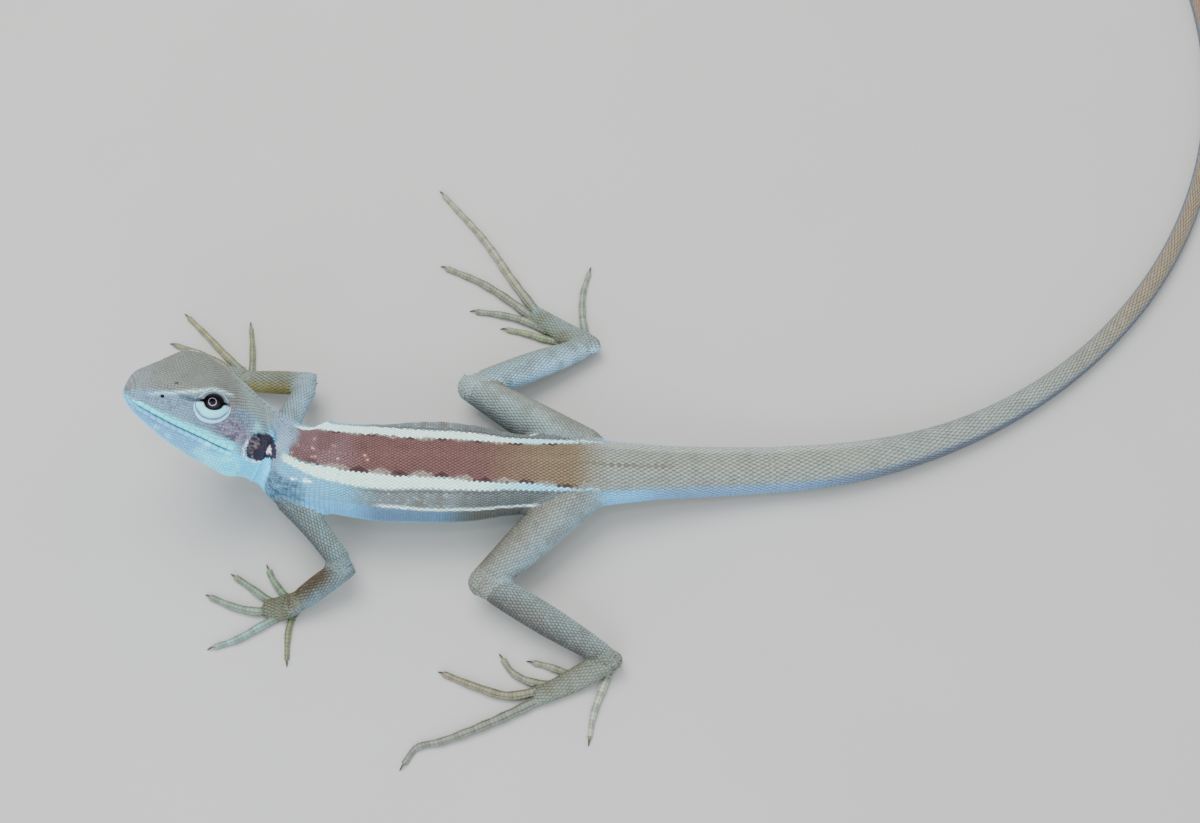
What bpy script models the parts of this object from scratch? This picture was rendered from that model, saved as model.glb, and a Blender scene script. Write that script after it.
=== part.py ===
# A ta-ta lizard (a slender long-tailed dragon) at life size, lying alert on a flat floor.
#
# The trunk is one loft from snout to tail tip, parted into head, neck, torso and five
# lengths of tail. Its sections are closed curves through eight rails: crown, brow, lip, jaw
# and throat, with the left and right ones mirrored. Limbs are tapered tubes between named
# joints, and each is cut clear of the piece it grows from. Hands and feet are a pad with five
# digits and claws joined to it. The animal faces -X, its left side is towards -Y.

import math

import bmesh
import bpy
import numpy as np

MM = 0.001  # all sizes below are in millimetres, the meshes are in metres
GAP = 0.3  # clearance between one solid and the next

# Head: where it is, how it is turned, and its shape in its own axes (back, left, up)
HEAD_SIZE = 1.03  # factor on the head's own measures
SNOUT = (-90.8, -9.0, 35.8)  # drawn tip of the snout
HEAD_YAW = 7.0  # degrees, snout swung to the animal's left
HEAD_PITCH = 33.0  # degrees, snout raised
HEAD_ROLL = 31.0  # degrees, left eye turned up
HEAD_LENGTH = 28.0  # from the snout's tip to the neck
SNOUT_START = 0.8  # the surface begins this far behind the snout's drawn tip
SNOUT_BLUNT = 2.6  # over this length the snout rounds off
SNOUT_MIDDLE = -0.6  # height of the middle of the rounding
# distance back: crown height, brow half width and height, lip half width and height,
# jaw half width and height, throat height
HEAD_RAILS = (
    (0.0, 2.9, 2.1, 2.3, 2.3, -0.5, 1.5, -1.7, -2.0),
    (3.0, 3.8, 2.9, 3.2, 3.4, -1.0, 2.4, -3.1, -3.5),
    (6.5, 4.9, 4.1, 4.4, 4.7, -1.8, 3.7, -5.0, -5.7),
    (9.5, 5.9, 5.6, 5.5, 5.7, -2.5, 4.6, -6.5, -7.3),
    (12.5, 6.7, 7.0, 6.3, 6.5, -3.1, 5.4, -7.8, -8.7),
    (15.5, 7.0, 7.1, 6.2, 7.2, -3.7, 6.2, -8.8, -9.7),
    (18.5, 6.4, 6.3, 5.2, 8.1, -4.3, 7.1, -9.6, -10.5),
    (22.0, 5.2, 5.1, 3.8, 9.0, -4.7, 8.1, -10.5, -11.5),
    (25.5, 3.4, 4.4, 2.0, 9.0, -4.8, 8.6, -11.0, -12.0),
    (28.0, 1.7, 4.1, 0.5, 8.2, -5.1, 7.9, -11.3, -12.2),
)
MOUTH_CORNER = 21.5  # how far back the line of the mouth runs
MOUTH_DEPTH = 0.55
MOUTH_WIDTH = 0.03  # as a share of the way from one rail to the next
LIP_SWELL = 0.15
LIP_RISE = 0.15  # how far above the mouth's line the lip swells, in the same shares
LIP_WIDTH = 0.08
EYE = (15.9, 4.3, 1.9)  # middle of the eyeball, for the left side
EYE_RADIUS = 3.1
LID_THICKNESS = 0.65
EYE_OPENING = (2.5, 1.5)  # half width and half height between the lids
EYE_LIFT = 42.0  # degrees, how far the opening looks up from level
OPENING_DEPTHS = (1.2, 5.5)  # from the eye's middle, both ends of the cut between the lids
EAR = (26.0, 9.1, -3.4)
EAR_RADII = (1.9, 1.7, 2.6)
EARDRUM_RADII = (1.5, 0.35, 2.1)
EARDRUM_DEPTH = 0.75  # from the skin to the middle of the drum
NOSTRIL = (6.4, 4.1, 1.9)
NOSTRIL_RADIUS = 0.55

# Trunk: its middle line runs from the head over the shoulders to the hips, then down the tail
SHOULDERS = (-53.0, -15.7, 13.5)
TRUNK_HEADING = 0.8  # degrees from +X towards +Y
NECK_PULL = 7.5  # how far the neck's curve follows the head and the back
HIP_DISTANCE = 57.0  # from the shoulders to the hips, along the back
TAIL_LENGTH = 287.0  # from the hips to the tip
TAIL_HEADING = 4.5  # degrees, the straight start of the tail
TAIL_STRAIGHT = 37.0  # length of that start
TAIL_BEND_RADIUS = 103.8  # the rest is an arc
TAIL_SINK = 0.25  # depth of the flat under the resting tail
# distance from the shoulders: half width, height above and below the middle line
TRUNK_SIZES = (
    (-14.0, 4.4, 4.7, 7.6),
    (-8.0, 9.3, 5.9, 8.0),
    (-4.0, 9.2, 7.0, 8.1),
    (0.0, 9.1, 7.6, 8.1),
    (4.0, 9.2, 7.9, 8.2),
    (10.0, 9.7, 8.2, 8.4),
    (16.0, 10.0, 8.3, 8.5),
    (22.0, 10.1, 8.3, 8.5),
    (29.0, 9.4, 8.0, 8.2),
    (34.0, 8.4, 7.6, 7.9),
    (40.0, 7.7, 7.2, 7.4),
    (49.0, 7.0, 6.5, 6.4),
    (57.0, 6.2, 5.8, 5.4),
    (65.0, 5.5, 5.1, 4.7),
    (75.0, 5.1, 4.7, 4.4),
    (87.0, 4.7, 4.3, 4.2),
    (100.0, 4.3, 4.0, 4.0),
    (113.0, 3.7, 3.5, 3.5),
    (125.0, 3.1, 3.0, 3.0),
    (155.0, 2.3, 2.25, 2.25),
    (185.0, 2.0, 2.0, 2.0),
    (225.0, 1.6, 1.6, 1.6),
    (262.0, 1.35, 1.35, 1.35),
    (307.0, 0.95, 0.95, 0.95),
    (344.0, 0.45, 0.45, 0.45),
)
BROW_WIDTH = 0.76  # corners of a section, as shares of its width and height
BROW_HEIGHT = 0.70
BELLY_WIDTH = 0.78
BELLY_HEIGHT = 0.72
# distance from the shoulders: height of the middle line, until the tail rests on the floor
TRUNK_HEIGHTS = (
    (0.0, 13.5),
    (9.0, 12.5),
    (20.0, 11.4),
    (31.0, 10.6),
    (41.0, 9.9),
    (49.0, 9.2),
    (57.0, 8.3),
    (65.0, 6.9),
    (75.0, 5.3),
    (87.0, 4.0),
)
# distance from the shoulders: how far the middle line is moved towards +Y
TRUNK_SWAY = (
    (-18.5, 0.0),
    (-15.0, -1.5),
    (-12.0, -1.1),
    (-8.5, -1.0),
    (-6.0, -0.2),
    (-3.0, 0.45),
    (0.0, 0.15),
    (4.0, -0.3),
    (10.0, -0.55),
    (16.0, -0.25),
    (22.0, -0.15),
    (29.0, -0.3),
    (39.0, -0.35),
    (49.0, 0.0),
)
NECK_END = -7.5  # places where the trunk is parted, from the shoulders
TORSO_END = 61.0
TAIL_CUTS = (61.0, 107.0, 162.0, 222.0, 284.0, 344.0)

# Limb joints: (x, y, z) of each, and the radii of the tubes between them
LIMB_JOINTS = {
    "left_arm": ((-61.0, -21.0, 12.2), (-50.2, -34.2, 7.0), (-60.0, -40.4, 3.3)),
    "right_arm": ((-64.2, -8.8, 12.4), (-59.6, 5.8, 7.0), (-73.1, 8.1, 3.3)),
    "left_leg": ((-3.2, -18.2, 9.2), (-22.7, -37.4, 7.2), (2.2, -51.9, 3.4)),
    "right_leg": ((-3.6, -10.2, 9.2), (-26.0, 4.8, 7.2), (-2.1, 16.2, 3.4)),
}
UPPER_ARM_RADII = (3.6, 2.5, 2.3)
FOREARM_RADII = (2.4, 2.5, 2.2)
THIGH_RADII = (5.0, 4.3, 3.2)
SHANK_RADII = (2.9, 3.1, 2.1)
LIMB_FLATNESS = 0.95  # height of a limb's section over its width

# Hands and feet. A pad runs from the wrist or ankle to the place given here.
PAD_FRONTS = {
    "left_hand": (-65.1, -40.7),
    "right_hand": (-76.8, 10.6),
    "left_foot": (-11.1, -58.4),
    "right_foot": (-12.9, 24.3),
}
HAND_PAD_WIDTHS = (2.3, 2.7, 2.0)  # half widths from the joint to the front
FOOT_PAD_WIDTHS = (2.3, 2.5, 1.9)
# Digits, inner one first: the places that the middle line of each runs through, then its
# radius at the root and at the tip.
DIGITS = {
    "left_hand": (
        (((-61.9, -38.6), (-64.1, -36.1), (-65.4, -34.2), (-66.1, -32.7)), 0.85, 0.62),
        (((-63.9, -39.8), (-66.7, -38.2), (-69.7, -36.0), (-72.4, -34.1)), 0.9, 0.62),
        (((-64.2, -40.9), (-68.5, -41.1), (-73.0, -40.0), (-77.0, -38.2)), 0.95, 0.62),
        (((-63.3, -42.1), (-67.1, -44.3), (-71.3, -46.8), (-75.6, -48.3)), 0.92, 0.58),
        (((-60.8, -41.7), (-61.5, -45.0), (-61.6, -47.9), (-61.5, -50.6)), 0.75, 0.48),
    ),
    "right_hand": (
        (((-74.3, 8.1), (-76.0, 7.0), (-77.3, 5.7), (-78.2, 4.4)), 0.8, 0.55),
        (((-75.9, 9.1), (-78.9, 8.8), (-81.8, 8.0), (-84.5, 6.8)), 0.8, 0.55),
        (((-75.6, 10.7), (-79.4, 13.4), (-84.2, 15.9), (-88.8, 17.7)), 0.85, 0.55),
        (((-74.8, 11.8), (-78.7, 15.7), (-82.6, 19.9), (-86.7, 24.1)), 0.85, 0.52),
        (((-72.7, 10.9), (-72.8, 14.8), (-73.1, 18.2), (-73.6, 21.7)), 0.75, 0.45),
    ),
    "left_foot": (
        (((-5.6, -54.2), (-8.8, -52.9), (-11.2, -52.1), (-12.7, -51.7)), 0.8, 0.58),
        (((-9.4, -56.3), (-14.6, -55.2), (-17.4, -53.4), (-18.9, -51.2)), 0.9, 0.6),
        (((-11.3, -57.3), (-18.1, -58.4), (-24.4, -56.5), (-30.1, -54.1)), 1.0, 0.65),
        (((-11.0, -58.9), (-21.5, -64.0), (-30.6, -67.5), (-35.6, -68.9), (-37.5, -71.6)), 1.15, 0.58),
        (((2.3, -52.4), (0.2, -57.7), (-1.4, -62.5), (-2.0, -66.5)), 0.95, 0.5),
    ),
    "right_foot": (
        (((-8.3, 18.4), (-12.2, 19.3), (-15.6, 20.5), (-19.3, 21.4)), 0.8, 0.58),
        (((-11.3, 21.2), (-16.5, 23.6), (-21.1, 24.9), (-25.8, 25.7)), 0.9, 0.6),
        (((-12.9, 23.1), (-19.1, 28.1), (-26.0, 32.9), (-32.5, 36.0)), 1.0, 0.62),
        (((-13.0, 24.9), (-18.7, 33.1), (-24.5, 42.3), (-33.8, 54.0)), 1.1, 0.55),
        (((-2.6, 18.0), (-3.8, 25.0), (-3.7, 29.7), (-2.4, 34.9)), 0.9, 0.5),
    ),
}
CLAW_LENGTH = 1.9
CLAW_RADIUS = 0.36
CLAW_TIP_RADIUS = 0.12
CLAW_ROOT = 0.25  # share of the claw's length that lies inside the digit
CLAW_ARCH = 0.35
CLAW_DROP = 0.15
CLAW_AROUND = 5
DIGIT_STEP = 2.8  # length of a digit between two of its sections
DIGIT_ARCH = 0.35  # how far the middle of a digit rises, as a share of its radius
DIGIT_SINK = 0.12  # depth of the flat under a digit
DIGIT_FLATNESS = 0.9
DIGIT_REST = 0.85  # height of the middle line over the floor, as a share of the radius
PAD_HEIGHT = 1.35
PAD_SINK = 0.15  # depth of the flat under a pad
PAD_SETTLE = 1.6  # how soon a pad comes down to the floor in front of its joint
PAD_AROUND = 12
FLOOR_BLOCK = (130.0, 130.0, 10.0)

TRUNK_AROUND = 24
TAIL_AROUND = 16
LIMB_AROUND = 14
DIGIT_AROUND = 8

# name: base colour, roughness
COLOURS = {
    "head": ((0.36, 0.34, 0.30), 0.6),
    "eye": ((0.03, 0.025, 0.02), 0.15),
    "eardrum": ((0.10, 0.08, 0.08), 0.5),
    "neck": ((0.34, 0.36, 0.36), 0.65),
    "torso": ((0.24, 0.13, 0.10), 0.65),
    "tail": ((0.38, 0.33, 0.25), 0.7),
    "limb": ((0.34, 0.33, 0.28), 0.7),
    "foot": ((0.42, 0.38, 0.24), 0.7),
}


def profile(table, at):
    """Smooth values at the given stations: a cubic between rows, with the rows' own slopes."""
    rows = np.array(table, float)
    x, y = rows[:, 0], rows[:, 1:]
    slope = np.gradient(y, x, axis=0)
    at = np.clip(np.atleast_1d(np.asarray(at, float)), x[0], x[-1])
    i = np.clip(np.searchsorted(x, at, side="right") - 1, 0, len(x) - 2)
    step = (x[i + 1] - x[i])[:, None]
    t = (at - x[i])[:, None] / step
    start = (2 * t**3 - 3 * t**2 + 1) * y[i] + (t**3 - 2 * t**2 + t) * step * slope[i]
    end = (3 * t**2 - 2 * t**3) * y[i + 1] + (t**3 - t**2) * step * slope[i + 1]
    return start + end


def unit(vectors):
    return vectors / np.linalg.norm(vectors, axis=-1, keepdims=True)


def smooth_step(t):
    t = np.clip(t, 0.0, 1.0)
    return t * t * (3 - 2 * t)


def closed_curve(rails, t):
    """Points at t = 0..8 on the closed cubic through each section's eight rails."""
    count = rails.shape[1]
    i = np.floor(t).astype(int)
    f = (t - i)[None, :, None]
    before, here, after, beyond = (rails[:, (i + k) % count] for k in (-1, 0, 1, 2))
    bend = 2 * before - 5 * here + 4 * after - beyond
    twist = 3 * here - before - 3 * after + beyond
    return here + 0.5 * f * ((after - before) + f * (bend + f * twist))


def mirrored_rails(values):
    """Rails (n, 8, 2) from columns: crown, brow w, brow h, lip w, lip h, jaw w, jaw h, throat."""
    crown, brow_w, brow_h, lip_w, lip_h, jaw_w, jaw_h, throat = values.T
    none = np.zeros_like(crown)
    rails = ((none, crown), (brow_w, brow_h), (lip_w, lip_h), (jaw_w, jaw_h),
             (none, throat), (-jaw_w, jaw_h), (-lip_w, lip_h), (-brow_w, brow_h))
    return np.stack([np.stack(rail, axis=-1) for rail in rails], axis=1)


def head_axes():
    """Unit vectors of the head: back, left and up."""
    yaw, pitch, roll = (math.radians(a) for a in (HEAD_YAW, HEAD_PITCH, HEAD_ROLL))
    level_back = np.array((math.cos(yaw), math.sin(yaw), 0.0))
    level_left = np.array((math.sin(yaw), -math.cos(yaw), 0.0))
    upright = np.array((0.0, 0.0, 1.0))
    back = level_back * math.cos(pitch) - upright * math.sin(pitch)
    up = level_back * math.sin(pitch) + upright * math.cos(pitch)
    left = level_left * math.cos(roll) + up * math.sin(roll)
    return back, left, up * math.cos(roll) - level_left * math.sin(roll)


def head_point(back, left, up):
    """World place of a point given in the head's own axes."""
    axes = head_axes()
    place = axes[0] * back + axes[1] * left + axes[2] * up
    return np.array(SNOUT) + HEAD_SIZE * place


def trunk_line(samples=1200):
    """Fine points of the middle line, their distance from the shoulders, and left and up."""
    back, left, _ = head_axes()
    middle = (HEAD_RAILS[-1][1] + HEAD_RAILS[-1][-1]) / 2
    start = head_point(HEAD_LENGTH, 0.0, middle)
    end = np.array(SHOULDERS)
    slope = (TRUNK_HEIGHTS[1][1] - TRUNK_HEIGHTS[0][1]) / TRUNK_HEIGHTS[1][0]
    heading = math.radians(TRUNK_HEADING)
    away = np.array((math.cos(heading), math.sin(heading), slope))
    t = np.linspace(0, 1, samples // 10, endpoint=False)[:, None]
    near_head = start + back * NECK_PULL
    near_trunk = end - unit(away) * NECK_PULL
    neck = ((1 - t)**3 * start + 3 * t * (1 - t)**2 * near_head
            + 3 * t * t * (1 - t) * near_trunk + t**3 * end)
    along = np.linspace(0, HIP_DISTANCE + TAIL_LENGTH, samples)
    past_hips = along - HIP_DISTANCE
    turn = TRUNK_HEADING + (TAIL_HEADING - TRUNK_HEADING) * smooth_step(past_hips / 12 + 1)
    turn += np.degrees(np.clip(past_hips - TAIL_STRAIGHT, 0, None) / TAIL_BEND_RADIUS)
    step = np.diff(along, prepend=0.0)
    x = end[0] + np.cumsum(step * np.cos(np.radians(turn)))
    y = end[1] + np.cumsum(step * np.sin(np.radians(turn)))
    resting = profile(TRUNK_SIZES, along)[:, 2] - TAIL_SINK
    height = np.where(along < TRUNK_HEIGHTS[-1][0], profile(TRUNK_HEIGHTS, along)[:, 0], resting)
    points = np.vstack((neck, np.stack((x, y, height), axis=1)))
    tangent = unit(np.gradient(points, axis=0))
    step = np.linalg.norm(np.diff(points, axis=0, prepend=points[:1]), axis=1)
    distance = np.cumsum(step)
    distance -= distance[len(neck)]
    blend = smooth_step(1 - distance / distance[0])[:, None]
    level_left = np.cross(tangent, (0.0, 0.0, 1.0))
    side = unit(unit(level_left) * blend + left * (1 - blend))
    side = unit(side - tangent * np.sum(side * tangent, axis=1, keepdims=True))
    points[:, 1] += profile(TRUNK_SWAY, distance)[:, 0]
    return points, distance, side, np.cross(side, tangent)


TRUNK = trunk_line()
HEAD_END = TRUNK[1][0]  # the head's base, as a distance from the shoulders


def trunk_rings(stations, around, grow=0.0):
    """Sections of neck, torso and tail at distances from the shoulders."""
    points, distance, side, up = TRUNK
    width, above, below = profile(TRUNK_SIZES, stations).T
    body = mirrored_rails(np.stack((above, BROW_WIDTH * width, BROW_HEIGHT * above,
                                    width, 0 * width, BELLY_WIDTH * width,
                                    -BELLY_HEIGHT * below, -below), axis=1))
    last = np.array(HEAD_RAILS[-1][1:])
    middle = (last[0] + last[-1]) / 2
    last[[0, 2, 4, 6, 7]] -= middle
    head_end = HEAD_SIZE * mirrored_rails(last[None, :])
    blend = smooth_step((stations - HEAD_END) / (NECK_END - HEAD_END))[:, None, None]
    rails = body * blend + head_end * (1 - blend)
    rails += grow * unit(rails)
    flat = closed_curve(rails, np.arange(around) * 8.0 / around)
    place = [np.stack([np.interp(stations, distance, v[:, k]) for k in range(3)], axis=1)
             for v in (points, side, up)]
    return (place[0][:, None] + flat[..., :1] * place[1][:, None]
            + flat[..., 1:] * place[2][:, None])


def head_rings():
    """Sections of the head, finer near the snout, with the line of the mouth pressed in."""
    front = SNOUT_START + SNOUT_BLUNT * (1 - np.cos(np.linspace(0.35, math.pi / 2, 5)))
    rear = np.linspace(SNOUT_START + SNOUT_BLUNT + 1.2, HEAD_LENGTH - GAP / 2, 18)
    back = np.concatenate((front, rear))
    rails = mirrored_rails(profile(HEAD_RAILS, back))
    side = (0.0, 0.33, 0.67, 0.9, 1.0, 1.15, 1.4, 1.65, 1.85, 1.95, 2.0, 2.05, 2.15, 2.4,
            2.7, 3.0, 3.33, 3.67, 4.0)
    t = np.array(side + tuple(8 - v for v in reversed(side[1:-1])))
    flat = closed_curve(rails, t)
    from_lip = np.abs(np.minimum(t, 8 - t) - 2.0)
    reach = smooth_step((MOUTH_CORNER - back) / 2.0)[:, None]
    press = reach * (LIP_SWELL * np.exp(-((from_lip - LIP_RISE) / LIP_WIDTH)**2)
                     - MOUTH_DEPTH * np.exp(-(from_lip / MOUTH_WIDTH)**2))
    flat += press[..., None] * unit(flat - np.array((0.0, SNOUT_MIDDLE)))
    rounding = np.sqrt(1 - np.clip(1 - (back - SNOUT_START) / SNOUT_BLUNT, 0, 1)**2)
    centre = np.array((0.0, SNOUT_MIDDLE))
    flat = centre + (flat - centre) * rounding[:, None, None]
    axes = head_axes()
    return (np.array(SNOUT) + HEAD_SIZE * (back[:, None, None] * axes[0]
            + flat[..., :1] * axes[1] + flat[..., 1:] * axes[2]))


def material_for(kind):
    if kind in bpy.data.materials:
        return bpy.data.materials[kind]
    colour, roughness = COLOURS[kind]
    material = bpy.data.materials.new(kind)
    material.use_nodes = True
    shader = material.node_tree.nodes["Principled BSDF"]
    shader.inputs["Base Color"].default_value = (*colour, 1.0)
    shader.inputs["Roughness"].default_value = roughness
    shader.inputs["Metallic"].default_value = 0.0
    return material


def new_object(name, mesh, collection):
    thing = bpy.data.objects.new(name, mesh)
    collection.objects.link(thing)
    return thing


def lofted(name, rings, collection, start_tip=None, end_tip=None):
    """Closed mesh over rings of points; each end is flat, or drawn to a given tip."""
    count, around = rings.shape[:2]
    vertices = [tuple(p) for p in rings.reshape(-1, 3) * MM]
    faces = []
    for i in range(count - 1):
        for j in range(around):
            k = (j + 1) % around
            faces.append((i * around + j, i * around + k,
                          (i + 1) * around + k, (i + 1) * around + j))
    for first, tip in ((0, start_tip), ((count - 1) * around, end_tip)):
        if tip is None:
            faces.append(tuple(range(first, first + around)))
            continue
        vertices.append(tuple(np.asarray(tip) * MM))
        pole = len(vertices) - 1
        for j in range(around):
            faces.append((first + j, first + (j + 1) % around, pole))
    mesh = bpy.data.meshes.new(name)
    mesh.from_pydata(vertices, [], faces)
    shape = bmesh.new()
    shape.from_mesh(mesh)
    bmesh.ops.recalc_face_normals(shape, faces=shape.faces)
    shape.to_mesh(mesh)
    shape.free()
    return new_object(name, mesh, collection)


def ellipsoid(name, place, axes, radii, collection, segments=20, rings=12):
    """Sphere stretched to three radii along the given axes, whose last one holds its poles."""
    shape = bmesh.new()
    bmesh.ops.create_uvsphere(shape, u_segments=segments, v_segments=rings, radius=1.0)
    mesh = bpy.data.meshes.new(name)
    shape.to_mesh(mesh)
    shape.free()
    count = len(mesh.vertices)
    points = np.empty(count * 3)
    mesh.vertices.foreach_get("co", points)
    points = points.reshape(-1, 3) * np.asarray(radii) @ np.asarray(axes) + np.asarray(place)
    mesh.vertices.foreach_set("co", (points * MM).ravel())
    if np.linalg.det(np.asarray(axes)) < 0:
        mesh.flip_normals()
    return new_object(name, mesh, collection)


def combine(thing, cutters, operation, solver="EXACT"):
    """Boolean with a collection holding the cutters, applied; the cutters are then removed."""
    group = bpy.data.collections.new(thing.name + "_others")
    for cutter in cutters:
        group.objects.link(cutter)
    boolean = thing.modifiers.new("combine", "BOOLEAN")
    boolean.operation = operation
    boolean.operand_type = "COLLECTION"
    boolean.collection = group
    boolean.solver = solver
    bpy.context.view_layer.update()
    graph = bpy.context.evaluated_depsgraph_get()
    mesh = bpy.data.meshes.new_from_object(thing.evaluated_get(graph))
    thing.modifiers.clear()
    thing.data = mesh
    for cutter in cutters:
        bpy.data.objects.remove(cutter)
    bpy.data.collections.remove(group)
    keep_largest(thing)


def keep_largest(thing):
    """Only the largest closed surface of a mesh stays."""
    shape = bmesh.new()
    shape.from_mesh(thing.data)
    left = set(shape.verts)
    pieces = []
    while left:
        piece, front = set(), [left.pop()]
        while front:
            vertex = front.pop()
            piece.add(vertex)
            near = [edge.other_vert(vertex) for edge in vertex.link_edges]
            fresh = [v for v in near if v in left]
            left.difference_update(fresh)
            front.extend(fresh)
        pieces.append(piece)
    largest = max(pieces, key=len)
    loose = [v for v in shape.verts if v not in largest]
    bmesh.ops.delete(shape, geom=loose, context="VERTS")
    shape.to_mesh(thing.data)
    shape.free()


def tube(name, points, widths, heights, collection, around, round_start=True, round_end=True):
    """Tapered tube of flattened rings along points, its ends rounded like a capsule's."""
    points = np.asarray(points, float)
    widths, heights = np.asarray(widths, float), np.asarray(heights, float)
    tangent = unit(np.gradient(points, axis=0))
    angles = np.radians((60.0, 30.0))

    def cap(which, sign):
        reach = widths[which] * np.sin(angles)[:, None]
        return (points[which] + sign * tangent[which] * reach, np.tile(tangent[which], (2, 1)),
                widths[which] * np.cos(angles), heights[which] * np.cos(angles))

    parts = [(points, tangent, widths, heights)]
    start_tip = end_tip = None
    if round_start:
        parts.insert(0, cap(0, -1))
        start_tip = points[0] - tangent[0] * widths[0]
    if round_end:
        parts.append(tuple(column[::-1] for column in cap(-1, 1)))
        end_tip = points[-1] + tangent[-1] * widths[-1]
    points, tangent, widths, heights = (np.concatenate(column) for column in zip(*parts))
    side = unit(np.cross((0.0, 0.0, 1.0), tangent))
    up = np.cross(tangent, side)
    angle = np.linspace(0, 2 * math.pi, around, endpoint=False)
    rings = (points[:, None]
             + (widths[:, None] * np.cos(angle))[..., None] * side[:, None]
             + (heights[:, None] * np.sin(angle))[..., None] * up[:, None])
    return lofted(name, rings, collection, start_tip, end_tip)


def limb_length(name, start, end, radii, collection, grow=0.0):
    """Tube between two joints whose radius passes through three values."""
    start, end = np.asarray(start), np.asarray(end)
    t = np.linspace(0, 1, 7)
    points = start + (end - start) * t[:, None]
    radius = profile([(k / 2, r) for k, r in enumerate(radii)], t)[:, 0] + grow
    return tube(name, points, radius, radius * LIMB_FLATNESS, collection, LIMB_AROUND)


def digit(name, path, radius, tip_radius, collection):
    """One toe or finger: a tapering tube on the floor, with its claw curving down."""
    path = np.array(path)
    chord = np.cumsum(np.linalg.norm(np.diff(path, axis=0, prepend=path[:1]), axis=1))
    t = np.linspace(0, 1, max(5, int(chord[-1] / DIGIT_STEP)))
    flat = profile(np.column_stack((chord, path)), t * chord[-1])
    radii = radius + (tip_radius - radius) * t
    rise = DIGIT_ARCH * radius * np.sin(math.pi * t)**2
    height = radii * DIGIT_REST - DIGIT_SINK + rise
    toe = tube(name, np.column_stack((flat, height)), radii, radii * DIGIT_FLATNESS,
               collection, DIGIT_AROUND)
    ahead = (flat[-1] - flat[-2]) / np.linalg.norm(flat[-1] - flat[-2])
    s = np.linspace(-CLAW_ROOT, 1, 4)
    drop = CLAW_ARCH * np.sin(math.pi * np.clip(s, 0, 1)) - CLAW_DROP * s
    claw = np.column_stack((flat[-1] + CLAW_LENGTH * s[:, None] * ahead, height[-1] + drop))
    thin = np.interp(s, (-CLAW_ROOT, 1), (CLAW_RADIUS, CLAW_TIP_RADIUS))
    nail = tube(name + "_claw", claw, thin, thin * 1.2, collection, CLAW_AROUND,
                round_start=False)
    return [toe, nail]


def pad_with_digits(name, joint, widths, cutters, collection):
    """Hand or foot: pad and digits joined, cut level on the floor and clear of the limb."""
    t = np.linspace(0, 1, 6)
    flat = np.asarray(joint[:2]) + (np.asarray(PAD_FRONTS[name]) - joint[:2]) * t[:, None]
    settle = 1 - smooth_step(t * PAD_SETTLE)
    height = PAD_HEIGHT - PAD_SINK + (joint[2] - PAD_HEIGHT) * settle
    width = profile([(k / 2, w) for k, w in enumerate(widths)], t)[:, 0]
    thick = PAD_HEIGHT + (widths[0] - PAD_HEIGHT) * settle
    thing = tube(name, np.column_stack((flat, height)), width, thick, collection, PAD_AROUND)
    pieces = []
    for number, (path, radius, tip_radius) in enumerate(DIGITS[name], 1):
        pieces += digit(f"{name}_digit_{number}", path, radius, tip_radius, collection)
    combine(thing, pieces, "UNION")
    combine(thing, [floor_block(joint, collection)] + cutters, "DIFFERENCE")
    return thing


def floor_block(joint, collection):
    """Block under the floor's level, wide enough for a hand or foot."""
    shape = bmesh.new()
    bmesh.ops.create_cube(shape, size=1.0)
    mesh = bpy.data.meshes.new("floor_block")
    shape.to_mesh(mesh)
    shape.free()
    size = np.array(FLOOR_BLOCK)
    middle = np.array((joint[0], joint[1], -size[2] / 2))
    for vertex in mesh.vertices:
        vertex.co = (np.array(vertex.co) * size + middle) * MM
    return new_object("floor_block", mesh, collection)


def build_head(parts, cutters):
    rings = head_rings()
    head = lofted("head", rings, parts, start_tip=head_point(SNOUT_START, 0.0, SNOUT_MIDDLE))
    axes = np.array(head_axes())
    lids, sockets = [], []
    for name, hand in (("left", 1), ("right", -1)):
        lift = math.radians(EYE_LIFT)
        out = axes[1] * hand * math.cos(lift) + axes[2] * math.sin(lift)
        across = axes[0]
        over = np.cross(across, out)
        eye = head_point(EYE[0], hand * EYE[1], EYE[2])
        radius = EYE_RADIUS
        lids.append(ellipsoid(name + "_lids", eye, axes, (radius + GAP + LID_THICKNESS,) * 3,
                              cutters))
        sockets.append(ellipsoid(name + "_socket", eye, axes, (radius + GAP,) * 3, cutters))
        opening = [eye + out * depth for depth in OPENING_DEPTHS]
        angle = np.linspace(0, 2 * math.pi, 20, endpoint=False)
        ring = (np.cos(angle)[:, None] * across * EYE_OPENING[0]
                + np.sin(angle)[:, None] * over * EYE_OPENING[1])
        sockets.append(lofted(name + "_opening", np.array([c + ring for c in opening]), cutters))
        ball = ellipsoid(name + "_eye", eye, (across, over, out), (radius,) * 3, parts)
        finish(ball, "eye")
        ear = head_point(EAR[0], hand * EAR[1], EAR[2])
        sockets.append(ellipsoid(name + "_ear_cup", ear, axes, EAR_RADII, cutters, 14, 8))
        drum_place = head_point(EAR[0], hand * (EAR[1] - EARDRUM_DEPTH), EAR[2])
        drum = ellipsoid(name + "_eardrum", drum_place, axes, EARDRUM_RADII, parts, 12, 6)
        finish(drum, "eardrum")
        nostril = head_point(NOSTRIL[0], hand * NOSTRIL[1], NOSTRIL[2])
        sockets.append(ellipsoid(name + "_nostril", nostril, axes, (NOSTRIL_RADIUS,) * 3,
                                 cutters, 10, 6))
    combine(head, lids, "UNION")
    combine(head, sockets, "DIFFERENCE")
    finish(head, "head")


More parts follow.
